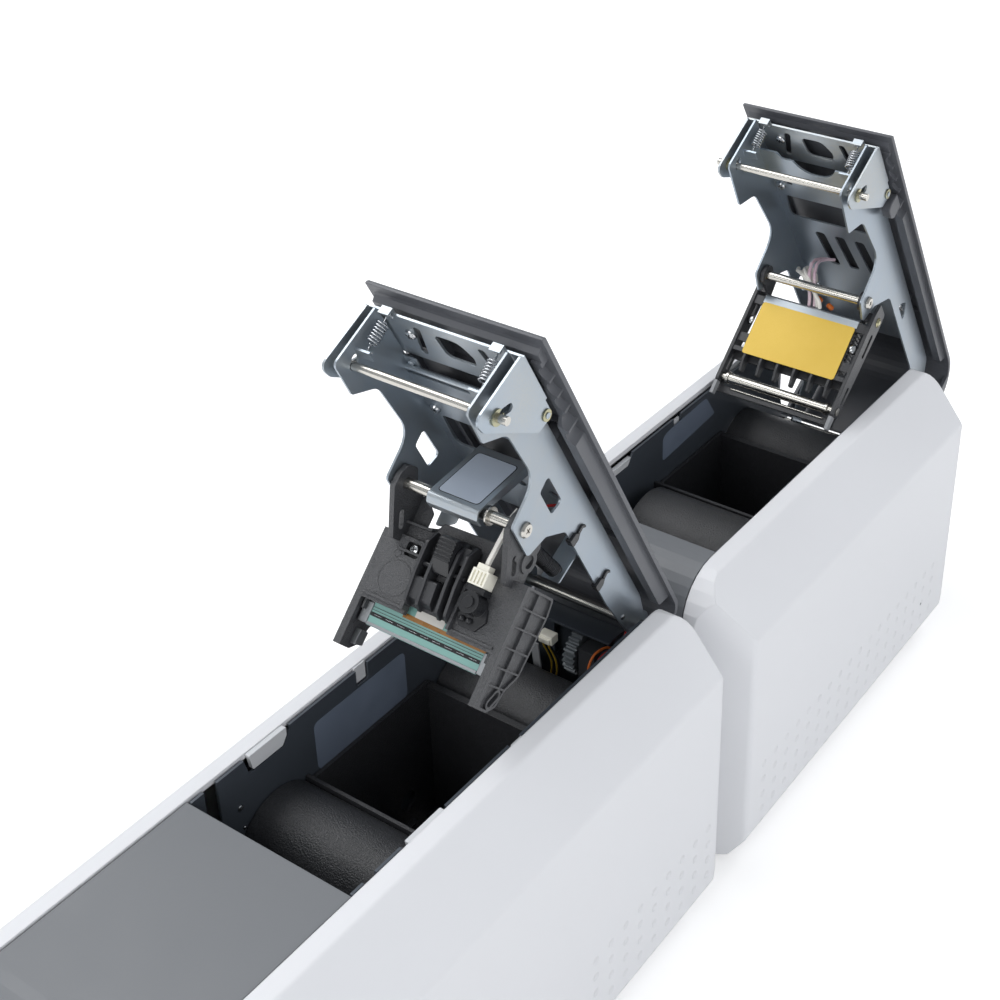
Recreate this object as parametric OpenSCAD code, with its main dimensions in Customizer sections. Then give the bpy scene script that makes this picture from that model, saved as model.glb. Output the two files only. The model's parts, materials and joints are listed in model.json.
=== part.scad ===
// Card printer with an in-line laminating unit docked behind it.
// Both hinged covers stand open, each carrying its sheet-metal frame,
// its sprung latch frame and the module that swings under it.
// Millimetres. X runs across the machine, Y from its front to its rear,
// Z up, and Z = 0 is the table.
//
// Each unit is drawn in its own side view (u, w): u runs backwards from
// the rear edge of the unit's deck and w up from the panels' top edge.
// What rides on a cover is drawn with the cover shut, then swung open.

/* [Housing] */
// Overall width across both side panels
body_w = 173; // [165:1:185]
// Height of the side panels' top edge above the table
panel_h = 200; // [196:1:210]
// Clear width between the inner edges of the side panels
bay_w = 100; // [98:1:104]
// Wall thickness of the moulded side panels
wall = 2.6; // [2:0.1:3]
// Drop of the sloping face between the top strip and the fold
bevel_drop = 36; // [30:1:42]
// Setback of the sloping face at the front of each panel
front_bevel = 19; // [14:1:22]
// Height of the rubber feet
foot_h = 4; // [3:0.5:6]
// How far the push buttons stand proud of the front
button_out = 1; // [0.6:0.1:2]

/* [Units] */
// Length of the printer in front of its ribbon bay
front_len = 134; // [125:1:145]
// Printer length from the bay's front edge to its rear
front_depth = 246.3; // [244:0.1:252]
// Laminating unit length in front of its bay
rear_len = 35; // [32:1:38]
// Laminating unit length from the bay's front edge to its rear
rear_depth = 259.2; // [257:0.1:264]
// Free gap between the two docked units
dock_gap = 17.3; // [16:0.1:22]

/* [Covers] */
// Angle at which the printer's cover stands open
front_open = 61.6; // [56:0.2:66]
// Angle at which the laminating unit's cover stands open
rear_open = 57.4; // [52:0.2:62]
// Skin thickness of the covers
cover_t = 2.5; // [2:0.1:3]
// Gap between a cover and the panels on each side
cover_gap = 0.7; // [0.5:0.1:1.2]

/* [Frames and shafts] */
// Thickness of the plated sheet metal
sheet = 1.2; // [1:0.1:1.5]
// Diameter of the latch shafts
latch_d = 4.2; // [3.6:0.1:4.6]
// Diameter of the shafts that the swinging modules hang on
pivot_d = 5.8; // [5:0.1:6.2]
// Diameter of the cover hinge shafts
hinge_d = 6; // [5:0.1:6.5]
// Radial running clearance of a shaft in its hole
run_gap = 0.06; // [0.03:0.01:0.09]

/* [Springs] */
// Curls of each latch spring
latch_curls = 8; // [6:1:9]
// Curls of the module's return spring
return_curls = 20; // [14:1:20]
// Wire diameter of the latch springs
latch_wire = 0.9; // [0.7:0.05:1]

/* [Hidden] */
$fn = 32;
half = body_w / 2;
bay = bay_w / 2;
rise = panel_h - foot_h;
unit_pitch = front_depth + dock_gap + rear_len;
// side view positions of the hinge shafts
front_hinge = [front_depth - 5.8, -18.5];
rear_hinge = [rear_depth + 1.8, -79];
// side view positions of the latch shafts and of their frames' pivots
front_latch = [13, -35.2];
rear_latch = [10.5, -39.2];
latch_pivot = [44, -12];
// side view positions of the module pivots
head_pivot = [90, -48.5];
heater_pivot = [106.4, -52.5];
// module frames: an origin on the front face, and the lean of the face
head_at = [110, -66];
head_lean = 16;
heater_at = [116, -46];
heater_lean = 10;
// half widths, from the chassis inwards
chassis_x = bay - 2.7;
tub_x = bay - 3.4;
latch_x = bay - 6.5;
frame_x = bay - 12.5;
module_x = bay - 6.8;
rim_x = bay - 3.4;
// rear corner of the laminating unit's cover
wrap_u = rear_depth + 8.8;
wrap_r = 22;
wrap_arm = [wrap_u - wrap_r, 0.4 - wrap_r] - rear_hinge;
reach = rear_hinge[0] + wrap_arm[0] * cos(rear_open) + wrap_arm[1] * sin(rear_open) + wrap_r;
// the machine is centred front to rear
y_off = (front_len + button_out - unit_pitch - reach) / 2;
// level of the card path, and the running line of the head over its roller
card_w = -109.4;
platen_r = 7;
platen = [128.5, card_w - platen_r];
lower_r = 5.4;
lower = [131.5, -129.4 - lower_r];
gear_at = [front_depth - 19.3, -39.5];
// level of the sockets in the rear end
socket_w = 26 - rise;
zinc = "#a9b7c0";
black = "#26272a";
grey = "#6c6e72";

// ---- outlines ------------------------------------------------------

function unit(v) = v / norm(v);

// the arc that rounds corner b of the path a, b, c with radius r
function fillet(a, b, c, r, n) =
  let (p = unit(a - b), q = unit(c - b), h = acos(max(-1, min(1, p * q))) / 2)
  let (m = b + unit(p + q) * r / sin(h), s = b + p * r / tan(h) - m, e = b + q * r / tan(h) - m)
  let (f = atan2(s[1], s[0]), d = (atan2(e[1], e[0]) - f + 540) % 360 - 180)
  [for (i = [0:n]) m + r * [cos(f + d * i / n), sin(f + d * i / n)]];

// a closed outline from corners [x, y] or [x, y, radius]
function rounded(p, n = 4) = [for (i = [0:len(p) - 1])
  let (k = len(p), a = p[(i + k - 1) % k], b = p[i], c = p[(i + 1) % k])
  each (len(b) > 2 && b[2] > 0 ?
    fillet([a[0], a[1]], [b[0], b[1]], [c[0], c[1]], b[2], n) : [[b[0], b[1]]])];

module ext_x(a, b) translate([a, 0, 0]) rotate([90, 0, 90]) linear_extrude(b - a) children();
module ext_y(a, b) translate([0, b, 0]) rotate([90, 0, 0]) linear_extrude(b - a) children();
module box(a, b) translate(a) cube(b - a);
module bar_x(r, a, b, p) translate([a, p[0], p[1]]) rotate([0, 90, 0]) cylinder(r = r, h = b - a);

module both_sides() {
  children();
  mirror([1, 0, 0]) children();
}

// a slot in the side view from p to q, its round ends cut as flats on radius r
module slot_2d(p, q, r, n = 10) {
  a = atan2(q[1] - p[1], q[0] - p[0]);
  k = r / cos(90 / n);
  polygon(concat([for (i = [0:n]) q + k * [cos(a - 90 + i * 180 / n), sin(a - 90 + i * 180 / n)]],
    [for (i = [0:n]) p + k * [cos(a + 90 + i * 180 / n), sin(a + 90 + i * 180 / n)]]));
}

// ---- tubes and springs ---------------------------------------------

function tangent(p, i) = unit(p[min(i + 1, len(p) - 1)] - p[max(i - 1, 0)]);
function across(n, t) = unit(n - (n * t) * t);
function rings(p, n0) = [for (i = 0, n = across(n0, tangent(p, 0)); i < len(p);
  i = i + 1, n = i < len(p) ? across(n, tangent(p, i)) : n) n];

module tube(p, r, n0 = [1, 0.2, 0.3], sides = 6) {
  f = rings(p, n0);
  k = len(p);
  pts = [for (i = [0:k - 1], j = [0:sides - 1])
    p[i] + r * (f[i] * cos(360 * j / sides) + cross(tangent(p, i), f[i]) * sin(360 * j / sides))];
  skin = [for (i = [0:k - 2], j = [0:sides - 1]) let (a = i * sides + j, b = i * sides + (j + 1) % sides)
    each [[a, a + sides, b], [b, a + sides, b + sides]]];
  caps = [[for (j = [0:sides - 1]) j], [for (j = [sides - 1:-1:0]) (k - 1) * sides + j]];
  polyhedron(pts, concat(skin, caps));
}

// a coil along +Z: a hook on the axis, curls of radius r, a hook
function coil(r, length, curls, lead) =
  let (n = curls * 8, hook = [for (i = [0:4]) [0, 1.5 - 1.5 * cos(i * 40), -lead - 1.5 * sin(i * 40)]])
  concat([for (i = [4:-1:0]) hook[i]], [for (i = [0:n])
    let (g = min(1, i / 5, (n - i) / 5)) [r * g * cos(i * 45), r * g * sin(i * 45), length * i / n]],
    [for (h = hook) [h[0], h[1], length - h[2]]]);

function least_gap(p, skip, wire) =
  min([for (i = [0:len(p) - 1 - skip], j = [i + skip:len(p) - 1]) norm(p[i] - p[j])]) - wire;

// a coil from point a to point b
module coil_between(a, b, r, curls, wire, lead, turn = 0) {
  d = b - a;
  length = norm(d) - 2 * lead;
  p = coil(r, length, curls, lead);
  echo(str("least gap of a spring to itself: ", least_gap(p, 6, wire)));
  translate(a) rotate([0, acos(d[2] / norm(d)), atan2(d[1], d[0])])
    rotate(turn) translate([0, 0, lead]) tube(p, wire / 2, [0, 1, 0.1]);
}

// ---- places --------------------------------------------------------

module in_front() translate([0, y_off, panel_h]) children();
module in_rear() translate([0, y_off + unit_pitch, panel_h]) children();
module swing(at, angle) translate([0, at[0], at[1]]) rotate([-angle, 0, 0])
  translate([0, -at[0], -at[1]]) children();
module on_front_cover() in_front() swing(front_hinge, front_open) children();
module on_rear_cover() in_rear() swing(rear_hinge, rear_open) children();
module on_head() on_front_cover() translate([0, head_at[0], head_at[1]])
  rotate([head_lean, 0, 0]) children();
module on_heater() on_rear_cover() translate([0, heater_at[0], heater_at[1]])
  rotate([heater_lean, 0, 0]) children();

// a side view point in a module's own (y, z)
function local(p, at, lean) = let (d = p - at)
  [d[0] * cos(lean) + d[1] * sin(lean), -d[0] * sin(lean) + d[1] * cos(lean)];
head_axis = local(head_pivot, head_at, head_lean);
heater_axis = local(heater_pivot, heater_at, heater_lean);

// ---- housing -------------------------------------------------------

// the panel as a solid, t inside its outer skin; opens inwards when t > 0
module panel_solid(u0, u1, t) {
  in = t > 0 ? 8 : 0;
  intersection() {
    ext_y(u0 - 1, u1 + 1) polygon(rounded([[bay - in, -t], [bay - in, -rise + t],
      [half - 9, -rise + t, 3], [half - t, -rise + 12 + 0.4 * t, 6],
      [half - t, -bevel_drop - 0.34 * t, 6], [bay + 9.5 - 0.54 * t, -1.2 - 0.94 * t, 3]]));
    ext_x(bay - 9, half + 1) polygon(rounded([[u0 + t, -t, 28 - t], [u0 + t, -rise + t, 8 - t],
      [u1 - t, -rise + t, 20 - t], [u1 - t, -t, 14 - t]], 6));
    translate([0, 0, -rise - 1]) linear_extrude(rise + 2) polygon(rounded([[bay - 9, u0 + t],
      [bay + 7 - 0.3 * t, u0 + t, 3], [half - t, u0 + front_bevel + 0.55 * t, 5],
      [half - t, u1 - t], [bay - 9, u1 - t]]));
  }
}

module side_panel(u0, u1) color("#f2f2f3") difference() {
  panel_solid(u0, u1, 0);
  panel_solid(u0, u1, wall);
}

module front_panel_right() in_front() side_panel(-front_len, front_depth);
module front_panel_left() mirror([1, 0, 0]) in_front() side_panel(-front_len, front_depth);
module rear_panel_right() in_rear() side_panel(-rear_len, rear_depth);
module rear_panel_left() mirror([1, 0, 0]) in_rear() side_panel(-rear_len, rear_depth);

// top deck and front wall in one curved sheet
module deck(u0, skirt) ext_x(-bay + 0.8, bay - 0.8) polygon(rounded([[0, -0.8], [u0, -0.8, 28],
  [u0, -rise + skirt], [u0 + 2.4, -rise + skirt], [u0 + 2.4, -3.2, 25.6], [0, -3.2]], 8));

// the card's way through a front wall
module card_way(u, low) box([-29, u - 2, low], [29, u + 4, card_w + 3.4]);

module front_deck() color(grey) in_front() difference() {
  deck(-front_len, 4);
  card_way(-front_len, card_w - 2.6);
  for (x = [-13, 13])
    translate([x, -front_len - 1, -58]) rotate([-90, 0, 0]) cylinder(r = 4.1, h = 5);
}

module rear_deck() color(grey) in_rear() difference() {
  deck(-rear_len, 9);
  card_way(-rear_len, card_w - 2.6);
}

// where a shaft at p leaves through the top as its cover swings about h
function way_out(p, h) = [h[0] - sqrt((p - h) * (p - h) - (4 - h[1]) * (4 - h[1])), 4];

module chassis_plate(outline, hinge, latch) ext_x(chassis_x, chassis_x + 1.5) difference() {
  union() {
    polygon(rounded(outline));
    translate(hinge) circle(7);
  }
  translate(hinge) circle(hinge_d / 2 + run_gap);
  slot_2d(latch - [0.8, 0], way_out(latch, hinge) - [0.8, 0], latch_d / 2 + 1.8);
  // notch of the panel's clip and the ribbon sensor window
  polygon([[33, 1], [36, -10.5], [59, -10.5], [64, -4], [64, 1]]);
  polygon(rounded([[111, 1], [111, -11, 1.5], [120, -11, 1.5], [120, 1]]));
  for (u = [22, 74, 150, 200]) translate([u, -50]) circle(2);
}

// a cross wall of the chassis with the card's way through
module cross_wall(u, top, low) difference() {
  box([-chassis_x - 0.5, u, -rise + 8], [chassis_x + 0.5, u + 1.5, top]);
  card_way(u, low);
}

module front_chassis() color("#33373c") in_front() {
  both_sides() chassis_plate([[-5, -3.2], [-5, -rise + 3, 8], [front_depth - 3, -rise + 3, 8],
    [front_hinge[0] + 5, front_hinge[1], 2], [front_hinge[0] - 16, -1.2, 4], [0.8, -1.2, 1], [0.8, -3.2]],
    front_hinge, front_latch);
  cross_wall(front_depth - 4.5, front_hinge[1] - 10.5, card_w - 4);
  cross_wall(-4.5, -9, card_w - 4);
  // member across the rear, folded down on either side of the gear
  ext_x(-30, 30) polygon([[gear_at[0] - 5, -22.6], [gear_at[0] + 8.6, -22.6], [gear_at[0] + 10, -24],
    [gear_at[0] - 5, -24]]);
  both_sides() ext_x(16, 30) polygon([[gear_at[0] + 8.6, -22.6], [gear_at[0] + 10, -22.6],
    [gear_at[0] + 10, -60], [front_depth - 4, -60], [front_depth - 4, -61.4], [gear_at[0] + 8.6, -61.4]]);
}

module rear_chassis() color("#33373c") in_rear() {
  both_sides() chassis_plate([[-5, -3.2], [-5, -rise + 3, 8], [rear_depth - 4, -rise + 3, 8],
    [rear_depth - 4, rear_hinge[1] - 11], [rear_depth - 1, rear_hinge[1] - 9, 2],
    [rear_depth - 1, rear_hinge[1] + 12, 4], [rear_depth - 12, -34, 8], [rear_depth - 34, -3.2, 6]],
    rear_hinge, rear_latch);
  cross_wall(rear_depth - 20, -100, card_w - 22);
  cross_wall(-4.5, -9, card_w - 22);
}

// ribbon tub: take-up barrel, cross bar, deep bay, supply barrel
module barrel(at, r, low) intersection() {
  difference() {
    translate(at) circle(r);
    translate(at) circle(r - 2);
  }
  translate([at[0] - r - 1, low]) square([2 * r + 2, r + 1 + at[1] - low]);
}

module tub(drum, drum_r, drum_x, bar, bay_end, floor, spool, latch) {
  low = -62;
  ext_x(-drum_x, drum_x) barrel(drum, drum_r, low);
  ext_x(-tub_x, tub_x) {
    translate([-3, low]) square([1.8, -3.2 - low]);
    translate([-3, low]) square([drum[0] - drum_r + 5, 2]);
    translate([bar, floor]) square([2, -37.5 - floor]);
    translate([bar, low]) square([max(2, drum[0] + drum_r - bar), 2]);
    translate([bar, floor]) square([10, 2]);
    translate([bay_end - 8, floor]) square([10, 2]);
    translate([bay_end, floor]) square([2, -43 - floor]);
    barrel(spool, 27, low);
    translate([bay_end, -64]) square([4, 21]);
  }
  both_sides() ext_x(tub_x - 2, tub_x) difference() {
    translate([bar, floor]) square([bay_end - bar + 2, -41 - floor]);
    translate([bay_end - 22, floor + 24]) circle(6);
  }
  // gussets between the deck wall and the barrel
  for (x = [-24, 0, 24]) ext_x(x - 0.9, x + 0.9) polygon([[-2, latch[1] - 4], [-2, low + 1],
    [drum[0] - drum_r + 3, low + 1], [drum[0] - drum_r * 0.94, drum[1] + drum_r * 0.28]]);
  // stiffening ribs on the bay's rear wall
  for (x = [-24, 24]) ext_x(x - 0.8, x + 0.8) translate([bay_end + 1, -90]) square([5, 42]);
}

module front_tub() color(black) in_front() {
  tub([49, -57], 26, tub_x, 69.5, front_depth - 86.3, -132, [front_depth - 56.3, -66], front_latch);
  both_sides() bearing_block(platen, -131);
}

module rear_tub() color(black) in_rear() {
  tub([60, -58], 32, frame_x - 3, 88, rear_depth - 91.2, -146, [rear_depth - 63.2, -66], rear_latch);
  both_sides() bearing_block(lower, -145);
}

// upright that carries one end of a roller, and its tie to the side wall
module bearing_block(at, floor) {
  difference() {
    ext_x(frame_x - 4.5, frame_x - 1.5) polygon(rounded([[at[0] - 8, floor], [at[0] + 8, floor],
      [at[0] + 6, at[1] + 4.5, 2], [at[0] - 6, at[1] + 4.5, 2]]));
    bar_x(2.5 + run_gap, 0, bay, at);
  }
  box([frame_x - 4.5, at[0] - 8, floor - 1], [tub_x, at[0] + 8, floor + 1]);
  box([frame_x - 4.5, at[0] - 40, floor - 1], [frame_x - 1.5, at[0] + 38, floor + 1]);
}

module base_pan(u0, u1) difference() {
  box([-bay, u0, -rise], [bay, u1, -rise + 3]);
  for (i = [0:7])
    box([-24, u1 - 60 - i * 9, -rise - 1], [24, u1 - 56 - i * 9, -rise + 4]);
}

module front_base() color("#3a3b3e") in_front() base_pan(-front_len + 3, front_depth - 6);
module rear_base() color("#3a3b3e") in_rear() base_pan(-rear_len + 3, rear_depth - 4);

module feet() color("#1d1d1f") {
  both_sides() in_front() for (u = [-front_len + 38, front_depth - 34]) foot(u);
  both_sides() in_rear() for (u = [-rear_len + 38, rear_depth - 34]) foot(u);
}

module foot(u) translate([bay + 17, u, -panel_h]) rotate_extrude()
  polygon([[0, 0], [8, 0], [9.5, 1.2], [9.5, foot_h], [0, foot_h]]);

module dock_link() color(zinc) in_front() {
  box([-34, front_depth - 30, -rise + 3], [34, front_depth + dock_gap + 24, -rise + 4.5]);
  // hooks that draw the two units together
  for (x = [-26, 26]) ext_x(x - 3, x + 3) polygon(rounded([[front_depth - 20, -rise + 4],
    [front_depth + dock_gap + 14, -rise + 4], [front_depth + dock_gap + 12, -rise + 7.6, 2],
    [front_depth - 18, -rise + 7.6, 2]]));
}

module end_plate() color(grey) in_rear() difference() {
  pitch = (-118 - socket_w) / 10.4;
  union() {
    box([-bay + 0.8, rear_depth - 4, -rise + 4], [bay - 0.8, rear_depth - 1.6, -92]);
    box([-8, rear_depth - 8, socket_w - 8], [8, rear_depth - 1, socket_w + 8]);
  }
  translate([-30, rear_depth - 5, socket_w]) rotate([-90, 0, 0]) cylinder(r = 5.5, h = 6);
  box([-6, rear_depth - 7, socket_w - 6], [6, rear_depth, socket_w + 6]);
  box([22, rear_depth - 5, socket_w - 10], [36, rear_depth, socket_w + 10]);
  for (i = [0:8])
    box([-32, rear_depth - 5, -104 - i * pitch], [32, rear_depth, -104 + (0.44 - i) * pitch]);
}

module inlet() color("#1f2022") in_rear() translate([-30, rear_depth - 5.4, socket_w])
  rotate([-90, 0, 0]) {
    difference() {
      union() {
        cylinder(r = 5.4, h = 4.4);
        translate([0, 0, 3.8]) cylinder(r = 7.2, h = 0.9);
      }
      translate([0, 0, 0.8]) cylinder(r = 3.2, h = 5);
    }
    cylinder(r = 1, h = 4);
  }

module rocker() color("#1f2022") in_rear() translate([0, rear_depth, socket_w]) {
  ext_x(22.3, 35.7) polygon(rounded([[-6.4, 3, 1], [-6.4, -3, 1], [-3.8, -9.4], [-0.4, -9, 1],
    [-1.6, 0], [1.2, 8.8, 1], [-3.8, 9.4]]));
  bar_x(1, 20.6, 37.4, [-5.2, 0]);
}

module button() {
  rotate([90, 0, 0]) cylinder(r = 3.9, h = button_out + 2.5);
  rotate([-90, 0, 0]) cylinder(r = 5.4, h = 1.6);
}

module button_left() color("#d9dadc") in_front() translate([-13, -front_len + 2.5, -58]) button();
module button_right() color("#d9dadc") in_front() translate([13, -front_len + 2.5, -58]) button();

// rubber roller with its shaft ends
module transport_roller(at, r) {
  bar_x(r, -frame_x + 7, frame_x - 7, at);
  bar_x(2.5, -frame_x + 0.8, frame_x - 0.8, at);
}

module platen_roller() color("#303134") in_front() transport_roller(platen, platen_r);
module lower_roller() color("#8d4a35") in_rear() transport_roller(lower, lower_r);

module drive_motor() color("#55595e") in_front() {
  box([14, gear_at[0] - 10.5, gear_at[1] - 14], [24, gear_at[0] + 8.6, gear_at[1] + 10]);
  bar_x(8, 23, 42, gear_at);
  bar_x(3, 42, 43.4, gear_at);
  bar_x(2, 2, 15, gear_at);
}

// spur gear on the gearbox's output shaft
module drive_gear() color("#8b9398") in_front() translate([5, gear_at[0], gear_at[1]])
  rotate([90, 0, 90]) difference() {
    linear_extrude(7) union() {
      circle(11.6);
      for (i = [0:23]) rotate(i * 15) polygon([[11, -1.3], [13.5, -0.5], [13.5, 0.5], [11, 1.3]]);
    }
    translate([0, 0, -1]) cylinder(r = 2 + run_gap, h = 9);
    translate([0, 0, -1]) difference() {
      cylinder(r = 9.6, h = 3);
      cylinder(r = 4, h = 3);
    }
  }

// motor leads in the housing: one to the rear wall, one up to the hinge
module loom() color("#a33032") in_front() translate([0, gear_at[0], 0]) {
  tube([[42.1, -3, -36], [43.6, -3, -36], [45, -5, -33], [45, -10, -29], [44.6, -16, -26],
    [44.2, -18, -31], [44, -16, -39], [44.2, -11, -48], [44.4, -6, -58], [44, 0, -68],
    [43, 8, -78], [42.6, 14.5, -80]], 0.9);
  tube([[32.6, 0, -31.4], [32.6, 0, -29.4], [32.6, 2, -27], [32.6, 5.4, -25],
    [32.6, 7.6, -22], [32.6, 8, -18]], 0.9);
}

// the lead's way on, along the arm of the open cover to the module
module front_cover_lead() color("#a33032") on_front_cover() {
  x = frame_x - 2.5;
  span = front_hinge[0] - head_pivot[0];
  arm = [for (p = [[0.986, -24.4], [0.944, -22.6], [0.864, -22], [0.764, -22.5], [0.664, -24],
    [0.578, -24.5], [0.498, -22.5], [0.399, -20], [0.253, -19.5]]) [x, head_pivot[0] + p[0] * span, p[1]]];
  end = [[-0.6, 28, -20.4], [-3, 20, -24], [-5.5, 13.5, -30], [-7, 10, -36], [-7.4, 8, -41]];
  tube(concat(arm, [for (p = end) [x, head_pivot[0], 0] + p]), 0.8);
}

module front_hinge_shaft() color("#d8dadb") in_front()
  bar_x(hinge_d / 2, -chassis_x - 1.8, chassis_x + 1.8, front_hinge);
module rear_hinge_shaft() color("#d8dadb") in_rear()
  bar_x(hinge_d / 2, -chassis_x - 1.8, chassis_x + 1.8, rear_hinge);

// ---- covers --------------------------------------------------------

// what both covers share under their skins: stepped front ledge,
// side rims with finger scallops, ribs and screw bosses
module cover_underside(w, rim_end, bosses) {
  ext_x(-rim_x, rim_x) polygon([[6, w + 0.1], [8, w - 0.6], [9.5, -3.4], [14, -3.4], [15.5, w + 0.1]]);
  both_sides() difference() {
    ext_x(rim_x - 5.4, rim_x) polygon(rounded([[14, w + 0.1], [14, -4.6], [56, -4.6, 1],
      [60, -8, 2], [rim_end - 4, -8, 3], [rim_end, w + 0.1]]));
    for (i = [0:4])
      translate([rim_x + 2.2, 22 + i * 11.6, -9]) cylinder(r = 5.6, h = 9 + w);
  }
  // slim inner step that runs along the rims
  both_sides() ext_x(rim_x - 8.6, rim_x - 5.3) polygon([[70, w + 0.1], [70, w - 3], [rim_end - 14, w - 3],
    [rim_end - 10, w + 0.1]]);
  for (x = [-14, 14]) box([x - 0.6, 15, -3.4], [x + 0.6, 38, w + 0.1]);
  for (u = [38, 66, rim_end - 60]) box([-rim_x + 5, u, w - 3], [rim_x - 5, u + 1.2, w + 0.1]);
  for (p = bosses) both_sides() difference() {
    translate([p[0], p[1], -12.4]) cylinder(r = 3.6, h = 12.6 + w);
    translate([p[0], p[1], -13]) cylinder(r = 1.3, h = 8);
  }
}

front_bosses = [[frame_x - 6, 74], [frame_x - 6, 140]];
rear_bosses = [[frame_x - 6, 60], [frame_x - 6, 170]];

module front_cover() color(grey) on_front_cover() {
  end = front_depth + 3;
  ext_x(-bay + cover_gap, bay - cover_gap) polygon(rounded([[1.3, cover_t - 1.2], [2.4, cover_t],
    [end, cover_t, 10], [end, -13, 1], [end - 2.4, -13, 1], [end - 2.4, 0, 7.6], [1.3, 0]], 6));
  cover_underside(0, front_depth - 12, front_bosses);
}

module rear_cover() color("#4e5055") on_rear_cover() {
  w = 0.4 - cover_t;
  ext_x(-bay + cover_gap, bay - cover_gap) polygon(rounded([[1.3, -0.8], [2.4, 0.4],
    [wrap_u, 0.4, wrap_r], [wrap_u, -72, 1], [wrap_u - cover_t, -72, 1],
    [wrap_u - cover_t, w, wrap_r - cover_t], [1.3, w]], 8));
  cover_underside(w, rear_depth - 14, rear_bosses);
  // cheeks of the wrapped end, behind the panels
  both_sides() ext_x(bay - cover_gap - 2.4, bay - cover_gap)
    polygon([[rear_depth + 0.6, -7], [rear_depth + 0.6, -70], [wrap_u - 1, -70],
      [wrap_u - 1, -20], [wrap_u - 2.2, -13.5], [wrap_u - 5.6, -8.4]]);
}

// ---- plated frames under the covers --------------------------------

module diamond_window(u, w) translate([u, w]) polygon(rounded([[-11, 4, 2], [-9, -4.6, 2],
  [9.6, -5, 2], [11, 4, 2]]));

// one side plate: outline in side view, its bores and windows
module bracket_side(outline, hinge, latch, pivot, window) ext_x(frame_x - sheet, frame_x) difference() {
  union() {
    polygon(rounded(outline, 5));
    translate(hinge) circle(8);
    translate(latch_pivot) circle(5.5);
  }
  translate(hinge) circle(hinge_d / 2 + run_gap);
  translate(latch_pivot) circle(1.5 + run_gap);
  translate(pivot) circle(pivot_d / 2 + 0.02);
  // the latch shaft's travel: an arc about its frame's pivot
  slot_2d(latch, latch + [-1.8, 2.6], latch_d / 2 + 0.25);
  diamond_window(window[0], window[1]);
}

// the sheet between the side plates, with its cut-outs
module bracket_web(u0, u1, window, bosses) translate([0, 0, -12.4 - sheet])
  linear_extrude(sheet) difference() {
    polygon([[-frame_x, u0], [frame_x, u0], [frame_x, u1], [-frame_x, u1]]);
    polygon(rounded([[-frame_x + 7, window[0], 2], [frame_x - 16, window[0], 2],
      [frame_x - 5, window[1], 2], [-frame_x + 5, window[1], 4]]));
    for (p = bosses) {
      translate(p) circle(1.7);
      translate([-p[0], p[1]]) circle(1.7);
    }
    children();
  }

front_side = [[2.2, -9.4, 1], [2.2, -43, 3], [24, -44, 2], [36, -31, 9], [74, -30, 12],
  [80.5, -54, 3], [105, -55, 3], [109, -41, 4], [122, -30, 6], [196, -30.5, 6],
  [front_hinge[0] - 3, front_hinge[1] - 9, 3], [front_hinge[0] + 6, front_hinge[1] + 4, 3],
  [front_hinge[0] - 18, -9.4, 6]];

rear_side = [[2.2, -9.4, 1], [2.2, -46.5, 3], [36, -50, 2], [46, -34, 9], [91, -29.5, 12],
  [97.5, -59, 3], [113, -63, 3], [118, -47, 4], [133, -30, 8], [226, -30, 14],
  [rear_hinge[0] - 10, rear_hinge[1] - 3, 4], [rear_hinge[0] + 2, rear_hinge[1] - 1, 1],
  [rear_hinge[0] + 1.6, -30, 14], [rear_hinge[0] - 22, -9.4, 12]];

// ledges inside the side plates that hold the lower ends of the latch springs
module spring_tabs() both_sides() box([27.5, 6.5, -30.4], [frame_x - 0.6, 12.5, -29.2]);

spring_x = 29.6;
module front_bracket() color(zinc) on_front_cover() {
  both_sides() bracket_side(front_side, front_hinge, front_latch, head_pivot, [93, -27]);
  bracket_web(47, 156, [80, 106], front_bosses)
    for (x = [-20, 0, 20]) translate([x, 124]) circle(3);
  spring_tabs();
  // tab that the return spring hooks into
  difference() {
    ext_x(23, 33.6) polygon(rounded([[150, -12.8], [150, -46, 2], [148.8, -46], [148.8, -12.8]]));
    translate([spring_x, 145, -39.4]) rotate([-90, 0, 0]) cylinder(r = 2.1, h = 14);
  }
}

module rear_bracket() color(zinc) on_rear_cover() {
  spring_tabs();
  both_sides() difference() {
    bracket_side(rear_side, rear_hinge, rear_latch, heater_pivot, [-40, 40]);
    ext_x(0, bay) polygon(rounded([[150, -24, 2], [172, -24, 2], [160, -15, 2]]));
  }
  bracket_web(47, 214, [70, 92], rear_bosses) {
    for (i = [0:3]) translate([-18 + i * 14, 104]) polygon(rounded([[0, 0, 2], [7, 0, 2],
      [12, 34, 2], [5, 34, 2]]));
    translate([-27, 52]) square([4, 5]);
  }
  // scalloped stiffener behind the latch frame
  translate([0, 0, -16.4]) linear_extrude(sheet) difference() {
    polygon(rounded([[-frame_x + 0.4, 34], [-frame_x + 0.4, 22, 2], [-24, 22, 2], [-22, 27, 2],
      [22, 27, 2], [24, 22, 2], [frame_x - 0.4, 22, 2], [frame_x - 0.4, 34], [frame_x - 0.4, 48],
      [-frame_x + 0.4, 48]]));
    translate([0, 22]) circle(15);
  }
}

// cross-recess pan screw, head towards -Z
module pan_screw(r, h) difference() {
  union() {
    translate([0, 0, -1.8]) cylinder(r1 = r * 0.8, r2 = r, h = 1);
    translate([0, 0, -0.8]) cylinder(r = r, h = 0.8);
    cylinder(r = 1.2, h = h);
  }
  for (a = [0, 90]) rotate(a) box([-1.7, -0.4, -2], [1.7, 0.4, -1]);
}

module bracket_screws(bosses) for (p = bosses) both_sides()
  translate([p[0], p[1], -12.4 - sheet]) pan_screw(3, 6);

module bracket_screws_front() color("#c9ccce") on_front_cover() bracket_screws(front_bosses);
module bracket_screws_rear() color("#c9ccce") on_rear_cover() bracket_screws(rear_bosses);

// ---- sprung latch frames -------------------------------------------

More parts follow.
